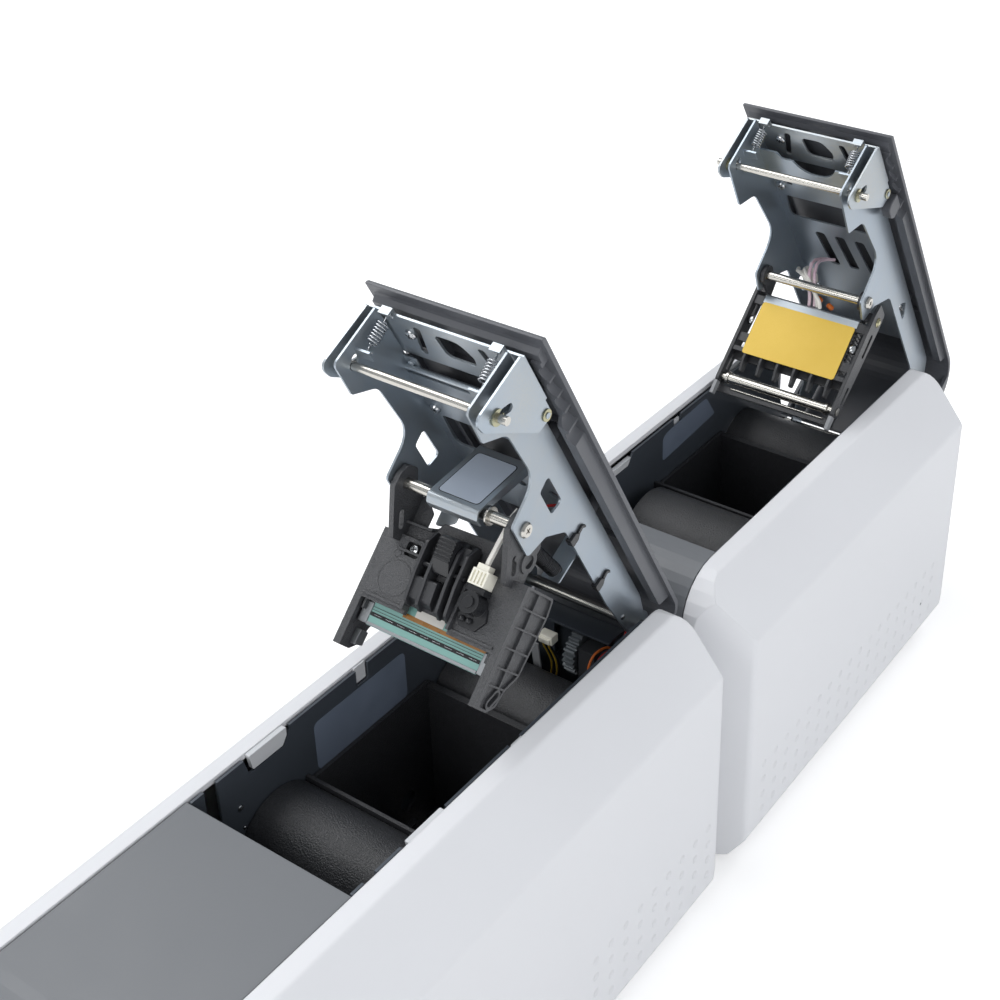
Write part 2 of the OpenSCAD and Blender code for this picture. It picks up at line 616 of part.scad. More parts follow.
latch_w = -8.6;
module latch_frame(latch) {
  both_sides() ext_x(latch_x - sheet, latch_x) difference() {
    polygon(rounded([[3.5, latch_w, 1], [2.6, latch[1] - 11, 4], [12, latch[1] - 9.5, 5],
      [47, -20, 3], [48, latch_w, 2]]));
    slot_2d(latch, latch + [4.2, 8.2], latch_d / 2 + 0.02);
  }
  translate([0, 0, latch_w]) linear_extrude(sheet) difference() {
    polygon([[-latch_x, 5], [-34, 5], [-34, 2], [-28, 2], [-28, 6], [28, 6], [28, 2], [34, 2],
      [34, 5], [latch_x, 5], [latch_x, 37], [-latch_x, 37]]);
    // D-shaped window between two slanting slots
    polygon(rounded([[-9, 12, 3], [5, 12, 7], [11, 22, 7], [9, 28, 2], [-7, 28, 4]]));
    both_sides() polygon(rounded([[16, 11, 1.5], [20, 11, 1.5], [24, 32, 1.5], [20, 32, 1.5]]));
    for (x = [-31, 31]) translate([x, 4.2]) circle(1.3);
  }
  // tabs turned down at the front
  both_sides() ext_x(28, 34) polygon([[2, latch_w + 0.2], [2, latch_w - 3], [3.1, latch_w - 3],
    [3.1, latch_w + 0.2]]);
}

module latch_cross_shaft() bar_x(1.5, -latch_x - 1.2, latch_x + 1.2, latch_pivot);

module front_latch_frame() color(zinc) on_front_cover() {
  latch_frame(front_latch);
  latch_cross_shaft();
}

module rear_latch_frame() color(zinc) on_rear_cover() {
  latch_frame(rear_latch);
  latch_cross_shaft();
}

module front_latch_shaft() color("#d8dadb") on_front_cover()
  bar_x(latch_d / 2, -bay + 0.5, bay - 0.5, front_latch);
module rear_latch_shaft() color("#d8dadb") on_rear_cover()
  bar_x(latch_d / 2, -bay + 0.5, bay - 0.5, rear_latch);

// retaining clips on either side of the latch frame's plates
module clips(at) both_sides() for (x = [latch_x + 0.1, latch_x - sheet - 0.9]) difference() {
  bar_x(latch_d / 2 + 1.9, x, x + 0.8, at);
  bar_x(latch_d / 2 + 0.01, x - 1, x + 2, at);
  box([x - 1, at[0] - 1.3, at[1]], [x + 2, at[0] + 1.3, at[1] + 5]);
}

module front_latch_clips() color("#b9a75a") on_front_cover() clips(front_latch);
module rear_latch_clips() color("#b9a75a") on_rear_cover() clips(rear_latch);

module latch_springs() both_sides()
  coil_between([31, 5.8, latch_w - 1.6 - latch_wire / 2],
    [31.6, 9, -27.6 + latch_wire / 2], 2.9, latch_curls, latch_wire, 2.4);

module front_latch_springs() color("#c9ccce") on_front_cover() latch_springs();
module rear_latch_springs() color("#c9ccce") on_rear_cover() latch_springs();

// ---- print head module ---------------------------------------------

module head_pivot_shaft() color("#d8dadb") on_front_cover() {
  bar_x(pivot_d / 2, -frame_x - 0.4, frame_x + 0.4, head_pivot);
  both_sides() translate([frame_x + 0.1, head_pivot[0], head_pivot[1]])
    rotate([0, -90, 0]) pan_screw(4, 0.5);
  // retaining clip beside the shield
  difference() {
    bar_x(4.8, 17.4, 18.3, head_pivot);
    bar_x(pivot_d / 2 - 0.01, 17, 19, head_pivot);
  }
}

// folded sheet over the pivot shaft; its face is bare
module head_shield() color("#aeb9c1") on_front_cover() {
  ext_x(-15, 15) polygon(rounded([[98.2, -13.6, 1], [83.4, -51.4, 2.5], [87, -54.8, 2],
    [92, -54.6], [91.8, -53.7], [87.4, -53.8, 1.4], [84.6, -51.4, 1.4], [99, -14.7, 1],
    [116, -14.7], [116, -13.6]]));
  both_sides() ext_x(14, 15) polygon([[98.6, -14.5], [85.8, -45.4], [91, -43.2], [104, -14.5]]);
}

head_flange = [[0, 0, 1], [27.4, 0, 2], [29, -9, 3], [26.5, -40, 4], [19.7, -48, 4],
  [17, -57, 4], [11, -60.5, 3], [0, -60, 2]];
head_flange_in = [[1.3, -1.3], [26.2, -1.3, 1], [27.6, -9, 2], [25.2, -39.5, 3], [18.4, -47.4, 3],
  [15.8, -56, 3], [10.6, -59.1, 2], [1.3, -58.7]];

// ribbed end wall of the carrier, cells facing outwards
module ribbed_flange(x) {
  ext_x(x - 2.8, x - 1.4) difference() {
    polygon(rounded(head_flange));
    slot_2d([14, -51.5], [11, -56], 1.7);
  }
  ext_x(x - 1.5, x) {
    difference() {
      polygon(rounded(head_flange));
      polygon(rounded(head_flange_in));
    }
    intersection() {
      polygon(rounded(head_flange));
      union() {
        for (v = [10, 19.3, 29.5, 39.2, 48]) translate([0, -v - 0.5]) square([30, 1]);
        translate([12.8, -48]) square([1.2, 48]);
      }
    }
    difference() {
      slot_2d([14, -51.5], [11, -56], 3);
      slot_2d([14, -51.5], [11, -56], 1.7);
    }
  }
}

// ear that hangs the carrier on the pivot shaft
module carrier_ear(x) difference() {
  ext_x(x - 1.5, x + 1.5) difference() {
    union() {
      polygon(rounded([[-6, -4, 1], [8, -4], [9, 3, 2], [-3, 12, 5],
        [head_axis[0] + 8, head_axis[1] + 2, 3],
        [head_axis[0] + 3, head_axis[1] + 9, 3], [head_axis[0] - 5, head_axis[1] + 8, 3],
        [head_axis[0] - 8.6, head_axis[1] - 4, 4]], 5));
      translate(head_axis) circle(8);
    }
    slot_2d([-8, 8.5], [-4, 3], 1.8);
  }
  bar_x(pivot_d / 2 + run_gap, x - 3, x + 3, head_axis);
}

module head_carrier() color(black) on_head() {
  ear_x = frame_x - sheet - 2.6;
  difference() {
    box([-module_x, 0, -60], [module_x, 3, 0]);
    box([-module_x + 4.2, -1, -61], [module_x - 4.2, 4, -35]);
    box([-13, -1, -36], [13, 4, -14]);
    ext_y(-1, 4) polygon(rounded([[-27, -2, 1], [-19, -2, 1], [-19, -9, 1], [-27, -9, 1]]));
    ext_y(-1, 4) polygon(rounded([[15, -13.5, 1], [27, -13.5, 1], [29, -20, 1],
      [20, -24, 1], [15, -22, 1]]));
  }
  both_sides() ribbed_flange(module_x);
  both_sides() carrier_ear(ear_x);
  // arm of the right ear with the return spring's pin
  ext_x(ear_x - 1.5, ear_x + 1.5) polygon(rounded([[-8, 8], [3, 6], [10.4, 18.6, 2.6], [6.6, 22.4, 2.6],
    [-8, 20]]));
  bar_x(1.05, spring_x - 2, ear_x, local([111.76, -45.52], head_at, head_lean));
  // round boss beside it
  translate([ear_x - 1, 4, 10.5]) rotate([0, 90, 0]) difference() {
    cylinder(r = 6, h = 3.4);
    translate([0, 0, -1]) cylinder(r = 3.3, h = 6);
  }
  box([ear_x - 1, -1, 2], [ear_x + 1.5, 9, 6]);
  // top rail with its shallow step, and the struts beside the clamp
  box([-module_x, 0, -1.2], [module_x, 7, 0]);
  box([-31, -1.2, -7.5], [-16, 0.5, -6.3]);
  both_sides() box([13, -3, -33], [14.6, 1, -3]);
  box([14.6, -1.2, -33], [module_x - 4, 0.5, -31.8]);
  box([-module_x + 4, -1.2, -33], [-14.6, 0.5, -31.8]);
  // thin rear webs that hold the block
  both_sides() box([module_x - 6.6, 2, -40], [module_x - 5.4, 16, -4]);
  both_sides() box([module_x - 6.6, 14.8, -24], [module_x - 2.6, 16, -8]);
}

// ceramic strip with its glazed edge
module head_strip() color("#7fc6ba") on_head() {
  box([-33.3, 5.2, -46.4], [33.3, 6, -30]);
  box([-33.3, 4.9, -42.4], [33.3, 5.25, -41.2]);
}

// aluminium block behind the strip
module head_block() color("#8b8f92") on_head() difference() {
  ext_x(-36.6, 36.6) polygon(rounded([[6, -46], [9, -46, 1], [13.6, -38, 2],
    [13.6, -10, 1], [6, -10, 1]]));
  for (i = [0:8]) box([-33 + i * 7.8, 9.6, -36], [-29.2 + i * 7.8, 15, -8]);
}

// hinge clamp in the middle of the carrier
module head_clamp() color("#2e2f33") on_head() {
  for (x = [-12.6, -5.6, 6.2, 11.2]) ext_x(x, x + 1.6) difference() {
    polygon(rounded([[0, 6, 1], [-4, 7, 2], [-9, 1, 3], [-8.6, -14, 2], [-6.4, -28, 3], [0, -31.5, 1]]));
    translate([-5, -9]) circle(1.4 + run_gap);
  }
  // boat-shaped shells between the cheeks
  for (x = [-11.1, -4.1]) ext_x(x, x + 5.6) polygon(rounded([[0, -14.4], [-6.6, -15.5, 1], [-5, -26, 2],
    [1, -29.5, 1], [2.6, -28], [2.6, -14.4]]));
  box([-12.6, -0.4, -30], [12.8, 3, -15]);
  box([-12.6, -2, -4], [-4.2, 0, 6]);
  box([6.2, -2, -4], [12.8, 0, 6]);
  box([7.7, -6, -3.6], [11.3, 0, 5]);
  ext_x(-10, 10) polygon([[-1.6, 4.5], [0, 4.5], [8, 9.4], [7, 10.6]]);
}

// ridged lever on its own pin
module thumb_lever() color("#1d1e21") on_head() {
  difference() {
    ext_x(-3.6, 5.8) polygon(rounded([[-3.2, -11.6, 2], [-6.8, -11.6, 2], [-11.6, -5, 1], [-12.6, 6, 1.5],
      [-6, 7.4, 2], [-4.4, 4, 1], [-3, -4, 1]]));
    for (i = [0:5]) translate([0, -13.2 + i * 0.16, 3.6 - i * 1.9]) rotate([0, 90, 0])
      translate([0, 0, -5]) cylinder(r = 0.6, h = 12, $fn = 16);
  }
  bar_x(1.4, -14, 14, [-5, -9]);
}

module head_sensor() color("#1f2023") on_head() {
  // hexagonal foot, round case and its two contacts
  ext_y(-1.6, 0) polygon(rounded([[14.8, -24, 1], [18, -19, 1], [29, -17, 1],
    [31, -23, 1], [27, -29, 1], [18, -29, 1]]));
  translate([23, 0, -17.5]) rotate([90, 0, 0]) cylinder(r = 5.4, h = 10);
  translate([23, 0, -17.5]) rotate([90, 0, 0]) cylinder(r = 3, h = 11.2);
  box([17, -7, -12.6], [27, 0, -9.4]);
  for (x = [19, 23]) translate([x, -2.6, -25.4]) sphere(r = 1.6, $fn = 16);
}

module head_plug() color("#ece6cf") on_head() difference() {
  union() {
    box([17.4, -9, -9.3], [26.4, 0, -1.6]);
    box([18.6, -8.4, -1.8], [25.2, -3.2, 1.2]);
  }
  for (i = [0:3]) box([18.4 + i * 2, -10, -8.4], [19.4 + i * 2, -8, -2.6]);
}

head_lead = [[22, -5.8, 1.3], [22, -5.8, 4], [22.6, -6.2, 8], [24, -8, 13], [25, -8.9, 17.4],
  [25.2, -8.8, 22], [25, -8, 26.4], [25, -6, 30]];
module head_wires() color("#f0efec") on_head() tube(head_lead, 1.5);

module return_spring() color("#3a3a3c") on_front_cover()
  coil_between([spring_x, 112, -47], [spring_x, 149.4, -41], 3.6, return_curls, 0.8, 3.2, 90);

// ---- laminating module ---------------------------------------------

module heater_pivot_shaft() color("#d8dadb") on_rear_cover() {
  bar_x(pivot_d / 2, -frame_x - 0.4, frame_x + 0.4, heater_pivot);
  both_sides() translate([frame_x + 0.1, heater_pivot[0], heater_pivot[1]])
    rotate([0, -90, 0]) pan_screw(4, 0.5);
}

heater_x = bay - 8;
heater_side = [[0, 0, 1], [12, -2, 2], [12.6, -12, 2], [8.6, -60, 3], [7, -78, 2], [-2.4, -79, 2],
  [-2, -52, 2], [-1.6, -10, 2]];

roller_at = [2.4, -74.3];
module heater_frame() color(black) on_heater() {
  both_sides() {
    difference() {
      ext_x(heater_x - 2.2, heater_x) polygon(rounded(heater_side));
      ext_x(heater_x - 3, heater_x + 1) {
        slot_2d([6.2, -20.4], [5.8, -34], 1.5);
        slot_2d([4.4, -58], [3.6, -68], 1.3);
        translate([6.6, -10]) circle(1.7);
      }
      bar_x(2.5 + run_gap, heater_x - 3, heater_x + 1, roller_at);
    }
    // inner ear on the pivot shaft
    difference() {
      ext_x(frame_x - sheet - 3.2, frame_x - sheet - 0.8) union() {
        translate(heater_axis) circle(6.4);
        polygon(rounded([[heater_axis[0], heater_axis[1] - 5.4], [heater_axis[0], heater_axis[1] + 5.4],
          [4, 0, 1], [6, -14, 1]]));
      }
      bar_x(pivot_d / 2 + run_gap, 0, bay, heater_axis);
    }
    box([frame_x - sheet - 2.8, 0.4, -13], [heater_x - 0.4, 3.4, -7]);
  }
  // cross rail, gussets and lower rail
  box([-heater_x + 1, -1.4, -56], [heater_x - 1, 1, -53]);
  box([-heater_x + 1, 5, -60], [heater_x - 1, 7.4, -52]);
  for (x = [-30, -18, -6, 6, 18, 30]) ext_x(x - 0.8, x + 0.8) polygon(rounded([[-1.4, -54], [6, -54],
    [6, -68, 2], [1.4, -68, 1], [-1.4, -60, 2]]));
  box([-heater_x + 1, 5, -84], [heater_x - 1, 6.6, -79.4]);
  both_sides() box([heater_x - 3.6, 5, -84], [heater_x - 0.4, 6.6, -76]);
}

// heating block in its folded sheet
module heater_core() color("#b5bfc5") on_heater() difference() {
  union() {
    ext_x(-33.4, 33.4) polygon([[-0.6, -15], [0.6, -14], [10, -14], [10, -15.2], [1.4, -15.2],
      [1.4, -50.4], [-0.6, -50.4]]);
    box([-30, 1.2, -50], [30, 9, -18]);
    for (i = [0:11]) both_sides() box([29.8, 2, -49 + i * 2.6], [34.6, 8, -47.6 + i * 2.6]);
    for (z = [-49, -22]) both_sides() box([33, -0.6, z], [heater_x - 2.2, 1.4, z + 6]);
  }
  box([-8, -2, -18.4], [4, 12, -12]);
}

module heater_plate() color("#e9cf2b") on_heater()
  ext_y(-1.4, -0.6) polygon(rounded([[-32.6, -20, 2], [32.6, -20, 2],
    [32.6, -51.6, 2], [-32.6, -51.6, 2]]));

module heater_roller() color("#e4ddd0") on_heater() {
  bar_x(3.2, -34.4, 34.4, roller_at);
  both_sides() bar_x(4, 34.4, 36, roller_at);
  bar_x(2.5, -heater_x - 0.6, heater_x + 0.6, roller_at);
}

module heater_guides() color("#8a8c8f") on_heater() both_sides()
  ext_x(heater_x - 2.2, heater_x) polygon([[-2.2, -79], [3, -78.6], [2.4, -87.6], [-1.6, -88]]);

heater_lead = [[-4, 2, -13], [-5, 0, -8], [-7, -3, -2], [-10, -5, 6], [-12, -3, 13],
  [-13, 2, 18], [-12, 8, 22], [-9, 13, 25]];
module heater_wires() color("#e2c3cb") on_heater() {
  tube(heater_lead, 1.1);
  tube([for (p = heater_lead) p + [3.4, 0.4, 0.6]], 1.1);
}

front_panel_right();
front_panel_left();
rear_panel_right();
rear_panel_left();
front_deck();
rear_deck();
front_chassis();
rear_chassis();
front_tub();
rear_tub();
front_base();
rear_base();
feet();
dock_link();
end_plate();
inlet();
rocker();
button_left();
button_right();
platen_roller();
lower_roller();
drive_motor();
drive_gear();
loom();
front_cover_lead();
front_hinge_shaft();
rear_hinge_shaft();
front_cover();
rear_cover();
front_bracket();
rear_bracket();
bracket_screws_front();
bracket_screws_rear();
front_latch_frame();
rear_latch_frame();
front_latch_shaft();
rear_latch_shaft();
front_latch_clips();
rear_latch_clips();
front_latch_springs();
rear_latch_springs();
head_pivot_shaft();
head_shield();
head_carrier();
head_strip();
head_block();
head_clamp();
thumb_lever();
head_sensor();
head_plug();
head_wires();
return_spring();
heater_pivot_shaft();
heater_frame();
heater_core();
heater_plate();
heater_roller();
heater_guides();
heater_wires();
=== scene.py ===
import json
import math

import bmesh
import bpy
from mathutils import Matrix, Quaternion, Vector


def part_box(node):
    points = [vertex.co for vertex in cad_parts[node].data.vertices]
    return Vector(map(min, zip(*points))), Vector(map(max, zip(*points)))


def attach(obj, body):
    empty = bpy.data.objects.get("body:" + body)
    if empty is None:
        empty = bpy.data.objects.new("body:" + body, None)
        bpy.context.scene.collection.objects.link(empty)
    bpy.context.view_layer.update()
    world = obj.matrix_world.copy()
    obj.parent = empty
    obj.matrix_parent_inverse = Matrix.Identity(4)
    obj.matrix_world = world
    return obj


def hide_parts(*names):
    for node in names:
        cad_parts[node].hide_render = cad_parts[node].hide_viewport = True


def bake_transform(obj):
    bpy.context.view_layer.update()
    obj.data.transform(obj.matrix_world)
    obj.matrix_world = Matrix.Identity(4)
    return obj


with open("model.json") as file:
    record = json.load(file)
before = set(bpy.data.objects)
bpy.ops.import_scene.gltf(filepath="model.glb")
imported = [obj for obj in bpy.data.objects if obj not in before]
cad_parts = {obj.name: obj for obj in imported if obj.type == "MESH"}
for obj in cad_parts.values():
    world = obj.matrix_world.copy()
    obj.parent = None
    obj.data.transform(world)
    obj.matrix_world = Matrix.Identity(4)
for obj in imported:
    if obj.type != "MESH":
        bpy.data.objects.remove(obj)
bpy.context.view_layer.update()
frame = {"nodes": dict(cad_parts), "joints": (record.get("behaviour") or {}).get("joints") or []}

nodes = frame["nodes"]
joints = {joint["name"]: joint for joint in frame["joints"]}

# ---- places ---------------------------------------------------------
# A unit's own points are (x, u, w) in mm: u backwards from the rear edge of its deck, w up from the
# panels' top edge. Points on a cover are given with the cover closed. The print head and the heater
# have leaning axes of their own, from a point that is given in the same way.

HEAD_AT, HEAD_LEAN = (0, 110, -66), 16
HEATER_AT, HEATER_LEAN = (0, 116, -46), 10
CHASSIS_SHEET = 1.5


def shift(x, y, z):
    return Matrix.Translation((x, y, z))


def lean(degrees):
    return Matrix.Rotation(math.radians(degrees), 4, "X")


def unit(deck, panel):
    """From a unit's own points in mm to the frame in metres."""
    return shift(0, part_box(deck)[1].y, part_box(panel)[1].z) @ Matrix.Scale(0.001, 4)


def opened(hinge):
    """The turn about a cover's hinge from closed, which is the joint's upper limit, to rest."""
    at = joints[hinge]["pos_m"]
    return shift(*at) @ lean(-joints[hinge]["range_deg"][1]) @ shift(*(-v for v in at))


def half_width(node):
    """Half the width of a node, in mm."""
    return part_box(node)[1].x * 1000


FRONT = unit("front_deck", "front_panel_right")
REAR = unit("rear_deck", "rear_panel_right")
FRONT_COVER = opened("front_cover_hinge") @ FRONT
REAR_COVER = opened("rear_cover_hinge") @ REAR
HEAD = FRONT_COVER @ shift(*HEAD_AT) @ lean(HEAD_LEAN)
HEATER = REAR_COVER @ shift(*HEATER_AT) @ lean(HEATER_LEAN)

# inner faces of the panels and the chassis plates, outer faces of the covers' frames
PANEL_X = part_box("front_panel_right")[0].x * 1000
CHASSIS_X = half_width("front_chassis") - CHASSIS_SHEET
FRAME_X = half_width("front_bracket")
STRIP_X = half_width("head_strip")

# where a piece is placed, with the body that it rides on
IN_FRONT = (FRONT, "housing")
IN_REAR = (REAR, "housing")
ON_FRONT_COVER = (FRONT_COVER, "front_cover")
ON_REAR_COVER = (REAR_COVER, "rear_cover")
ON_HEAD = (HEAD, "print_head")
ON_HEATER = (HEATER, "heater")

# ---- materials ------------------------------------------------------

DIMPLE_PITCH_Y, DIMPLE_PITCH_Z = 0.0138, 0.0118
DIMPLE_ROW_Z = 0.0630
DIMPLE_FLAT_R, DIMPLE_R = 0.0012, 0.0030
DIMPLES_LOW, DIMPLES_HIGH, DIMPLES_FADE = 0.0099, 0.0694, 0.0004
# the dimples show only this far out, which is the outer face, and the spot on its right side alone
OUTER_FROM, OUTER_TO = 0.0850, 0.0860
# the spot is painted shade, standing in for a small hole
SPOT_FROM, SPOT_TO = 0.084, 0.086
SPOT_R, SPOT_FADE = 0.0008, 0.0003


def rgb(r, g, b):
    """A screen colour, 0 to 255 each, as the linear one that the shaders take."""
    screen = [c / 255 for c in (r, g, b)]
    return tuple(((c + 0.055) / 1.055) ** 2.4 if c > 0.04045 else c / 12.92 for c in screen)


def scaled(colour, by):
    return tuple(min(1.0, v * by) for v in colour)


class Nodes:
    """A short way to write a node tree, which it empties first."""

    def __init__(self, tree):
        self.tree = tree
        self.tree.nodes.clear()

    def add(self, kind, **values):
        node = self.tree.nodes.new("ShaderNode" + kind)
        for key, value in values.items():
            setattr(node, key, value)
        return node

    def link(self, a, b):
        self.tree.links.new(a, b)

    def put(self, socket, value):
        if isinstance(value, bpy.types.NodeSocket):
            self.link(value, socket)
        else:
            socket.default_value = value

    def math(self, op, a, b=0.0):
        node = self.add("Math", operation=op)
        self.put(node.inputs[0], a)
        self.put(node.inputs[1], b)
        return node.outputs[0]

    def span(self, value, from_a, from_b, to_a, to_b, smooth=False):
        """The value carried from one span to another."""
        node = self.add("MapRange", interpolation_type="SMOOTHSTEP" if smooth else "LINEAR")
        self.put(node.inputs["Value"], value)
        ends = {"From Min": from_a, "From Max": from_b, "To Min": to_a, "To Max": to_b}
        for key, end in ends.items():
            node.inputs[key].default_value = end
        return node.outputs[0]

    def noise(self, vector, scale, detail, rough=0.5):
        node = self.add("TexNoise")
        self.link(vector, node.inputs["Vector"])
        node.inputs["Scale"].default_value = scale
        node.inputs["Detail"].default_value = detail
        node.inputs["Roughness"].default_value = rough
        return node.outputs["Fac"]

    def mix(self, fac, a, b):
        node = self.add("Mix", data_type="RGBA")
        self.put(node.inputs[0], fac)
        for socket, colour in ((node.inputs[6], a), (node.inputs[7], b)):
            self.put(socket, colour if isinstance(colour, bpy.types.NodeSocket) else (*colour, 1))
        return node.outputs[2]


def surface(name, colour, rough, metal=0.0, tint=None, tone=0.08, patch=18.0, grain=0.3,
            grain_at=1600.0, depth=0.00004, stretch=(1, 1, 1), edge=0.0003, rough_by=0.06,
            specular=0.5, coat=0.0, extra=None):
    """A moulded, painted or plated surface: patches of tone, fine grain, softened edges."""
    material = bpy.data.materials.new(name)
    material.use_nodes = True
    n = Nodes(material.node_tree)
    out = n.add("OutputMaterial")
    shader = n.add("BsdfPrincipled")
    n.link(shader.outputs[0], out.inputs["Surface"])
    place = n.add("TexCoord").outputs["Object"]
    mapped = n.add("Mapping")
    n.link(place, mapped.inputs["Vector"])
    mapped.inputs["Scale"].default_value = stretch
    wide = n.noise(mapped.outputs[0], patch, 4, 0.6)
    fine = n.noise(mapped.outputs[0], grain_at, 2, 0.6)
    lighter = tint or scaled(colour, 1 + tone)
    col = n.mix(n.span(wide, 0.3, 0.7, 0, 1), scaled(colour, 1 - tone), lighter)
    col = n.mix(n.span(fine, 0.35, 0.65, 0, 0.5), col, scaled(colour, 1 - tone * 0.6))
    height = n.span(fine, 0.3, 0.7, 0, 1)
    if extra:
        col, height = extra(n, place, col, height)
    n.link(col, shader.inputs["Base Color"])
    n.link(n.span(wide, 0.3, 0.7, rough - rough_by, rough + rough_by), shader.inputs["Roughness"])
    shader.inputs["Metallic"].default_value = metal
    shader.inputs["Specular IOR Level"].default_value = specular
    if coat:
        shader.inputs["Coat Weight"].default_value = coat
        shader.inputs["Coat Roughness"].default_value = 0.12
    bump = n.add("Bump")
    bump.inputs["Strength"].default_value = grain
    bump.inputs["Distance"].default_value = depth
    n.link(height, bump.inputs["Height"])
    if edge:
        rounded = n.add("Bevel", samples=4)
        rounded.inputs["Radius"].default_value = edge
        n.link(rounded.outputs[0], bump.inputs["Normal"])
    n.link(bump.outputs[0], shader.inputs["Normal"])
    return material


def dimples(start, stop, spot=None):
    """Rows of round dimples low on a panel's outer face, from start to stop in y, each with painted shade
    in its dip, and a dark spot painted as the shade of a small hole.
    """

    def extra(n, place, col, height):
        xyz = n.add("SeparateXYZ")
        n.link(place, xyz.inputs[0])
        x, y, z = xyz.outputs
        squares = []
        first_y = start - DIMPLE_PITCH_Y / 2
        for along, first, pitch in ((y, start, DIMPLE_PITCH_Y), (z, DIMPLE_ROW_Z, DIMPLE_PITCH_Z)):
            # the half centres a cell on its row, and the 100 keeps the count above nought
            count = n.math("ADD", n.math("DIVIDE", n.math("SUBTRACT", along, first), pitch), 100.5)
            off = n.math("MULTIPLY", n.math("SUBTRACT", n.math("FRACT", count), 0.5), pitch)
            squares.append(n.math("POWER", off, 2))
        far = n.math("SQRT", n.math("ADD", *squares))
        dip = n.span(far, DIMPLE_FLAT_R, DIMPLE_R, 1, 0, True)
        field = (
            n.span(z, DIMPLES_HIGH - DIMPLES_FADE, DIMPLES_HIGH, 1, 0),
            n.span(z, DIMPLES_LOW, DIMPLES_LOW + DIMPLES_FADE, 0, 1),
            n.span(y, first_y, first_y + DIMPLES_FADE, 0, 1),
            n.span(y, stop, stop + DIMPLES_FADE, 1, 0),
            n.span(n.math("ABSOLUTE", x), OUTER_FROM, OUTER_TO, 0, 1),
        )
        for inside in field:
            dip = n.math("MULTIPLY", dip, inside)
        height = n.math("SUBTRACT", n.math("MULTIPLY", height, 0.04), n.math("MULTIPLY", dip, 2.2))
        # each dimple is also painted a little darker towards its centre: painted shade in the dip
        col = n.mix(n.math("MULTIPLY", dip, 0.10), col, rgb(170, 172, 176))
        # a dark spot painted where a small hole is: painted shade
        if spot:
            squares = [n.math("POWER", n.math("SUBTRACT", v, at), 2) for v, at in zip((y, z), spot)]
            far = n.math("SQRT", n.math("ADD", *squares))
            inside = n.span(far, SPOT_R, SPOT_R + SPOT_FADE, 1, 0)
            on_right = n.span(x, SPOT_FROM, SPOT_TO, 0, 1)
            col = n.mix(n.math("MULTIPLY", inside, on_right), col, rgb(70, 72, 76))
        return col, height

    return extra


def panel_white(name, extra):
    return surface(name, rgb(226, 227, 230), 0.42, tone=0.012, patch=7, grain=1.0, grain_at=2600,
                   depth=0.00022, edge=0.0012, rough_by=0.04, extra=extra)


def insulation(name, colour, tone=0.05, rough=0.45, **finish):
    return surface(name, colour, rough, tone=tone, edge=0, **finish)


# the housing and the covers
front_white = panel_white("white_moulding_front", dimples(-0.1169, -0.0003))
rear_white = panel_white("white_moulding_rear", dimples(0.0565, 0.3000, (0.2770, 0.0390)))
deck_grey = surface("grey_moulding", rgb(110, 113, 117), 0.4, tone=0.03, grain=0.35, grain_at=2200,
                    depth=0.00003, edge=0.0005)
cover_grey = surface("cover_moulding", rgb(90, 92, 97), 0.42, tone=0.04, grain=0.4, grain_at=1800,
                     depth=0.00003, edge=0.0005)
cover_dark = surface("dark_cover_moulding", rgb(82, 84, 89), 0.42, tone=0.04, grain=0.4, grain_at=1800,
                     depth=0.00003, edge=0.0005)
coated = surface("coated_steel", rgb(76, 82, 90), 0.34, metal=0.3, tone=0.12, patch=14, grain=0.3,
                 grain_at=1200, depth=0.00003)
# the fine, strong speckle of tone is partly real grain and partly painted sparkle: glints painted in as
# lighter flecks
grain_and_painted_sparkle = surface("moulding_with_painted_sparkle", rgb(46, 47, 50), 0.42, tone=0.35, patch=650, grain=1.0,
                   grain_at=1150, depth=0.0002, edge=0.0004, specular=0.6)
base_steel = surface("base_steel", rgb(58, 59, 62), 0.5, metal=0.2, tone=0.1)
end_grey = surface("end_moulding", rgb(104, 106, 110), 0.45, tone=0.05, grain=0.5, edge=0.0005)
tab_white = surface("white_tab", rgb(206, 208, 211), 0.45, tone=0.02, edge=0.0003)
guide_grey = surface("guide_moulding", rgb(146, 148, 151), 0.4, tone=0.06, edge=0.0003)
key_grey = surface("key_moulding", rgb(200, 202, 206), 0.3, tone=0.02, edge=0.0004)
gloss_black = surface("gloss_moulding", rgb(38, 39, 42), 0.28, tone=0.2, grain=0.2, edge=0.0004)

# the print head and the heater
# the fine, strong speckle of tone is partly real grain and partly painted sparkle: glints painted in as
# lighter flecks
head_black = surface("head_moulding", rgb(62, 63, 66), 0.4, tone=0.35, patch=750, grain=1.0,
                     grain_at=1350, depth=0.0002, edge=0.0004, specular=0.75)
frame_black = surface("frame_moulding", rgb(52, 53, 56), 0.36, tone=0.2, patch=60, grain=0.6,
                      grain_at=2100, depth=0.00006, edge=0.0004)
ceramic = surface("glazed_ceramic", rgb(130, 174, 167), 0.18, tone=0.04, patch=60, grain=0.1,
                  specular=0.6, coat=0.5, edge=0.0001)
yellow = surface("yellow_enamel", rgb(226, 188, 66), 0.4, tone=0.03, patch=25, tint=rgb(232, 196, 84),
                 grain=0.15, edge=0.0001)
blank_plate = surface("blank_plate", rgb(176, 186, 200), 0.34, metal=0.1, tint=rgb(190, 198, 210),
                      tone=0.04, patch=9, edge=0)
band_brown = surface("resistor_band", rgb(30, 30, 32), 0.2, tone=0.15, patch=80, coat=0.4, edge=0)
flex_amber = surface("flex_amber", rgb(150, 104, 48), 0.3, tone=0.15, patch=140, coat=0.3, edge=0)
flex_pale = surface("flex_pale", rgb(206, 204, 198), 0.5, tone=0.06, patch=220, edge=0)
plug_cream = surface("plug_moulding", rgb(247, 244, 230), 0.38, tone=0.03, edge=0.0003)

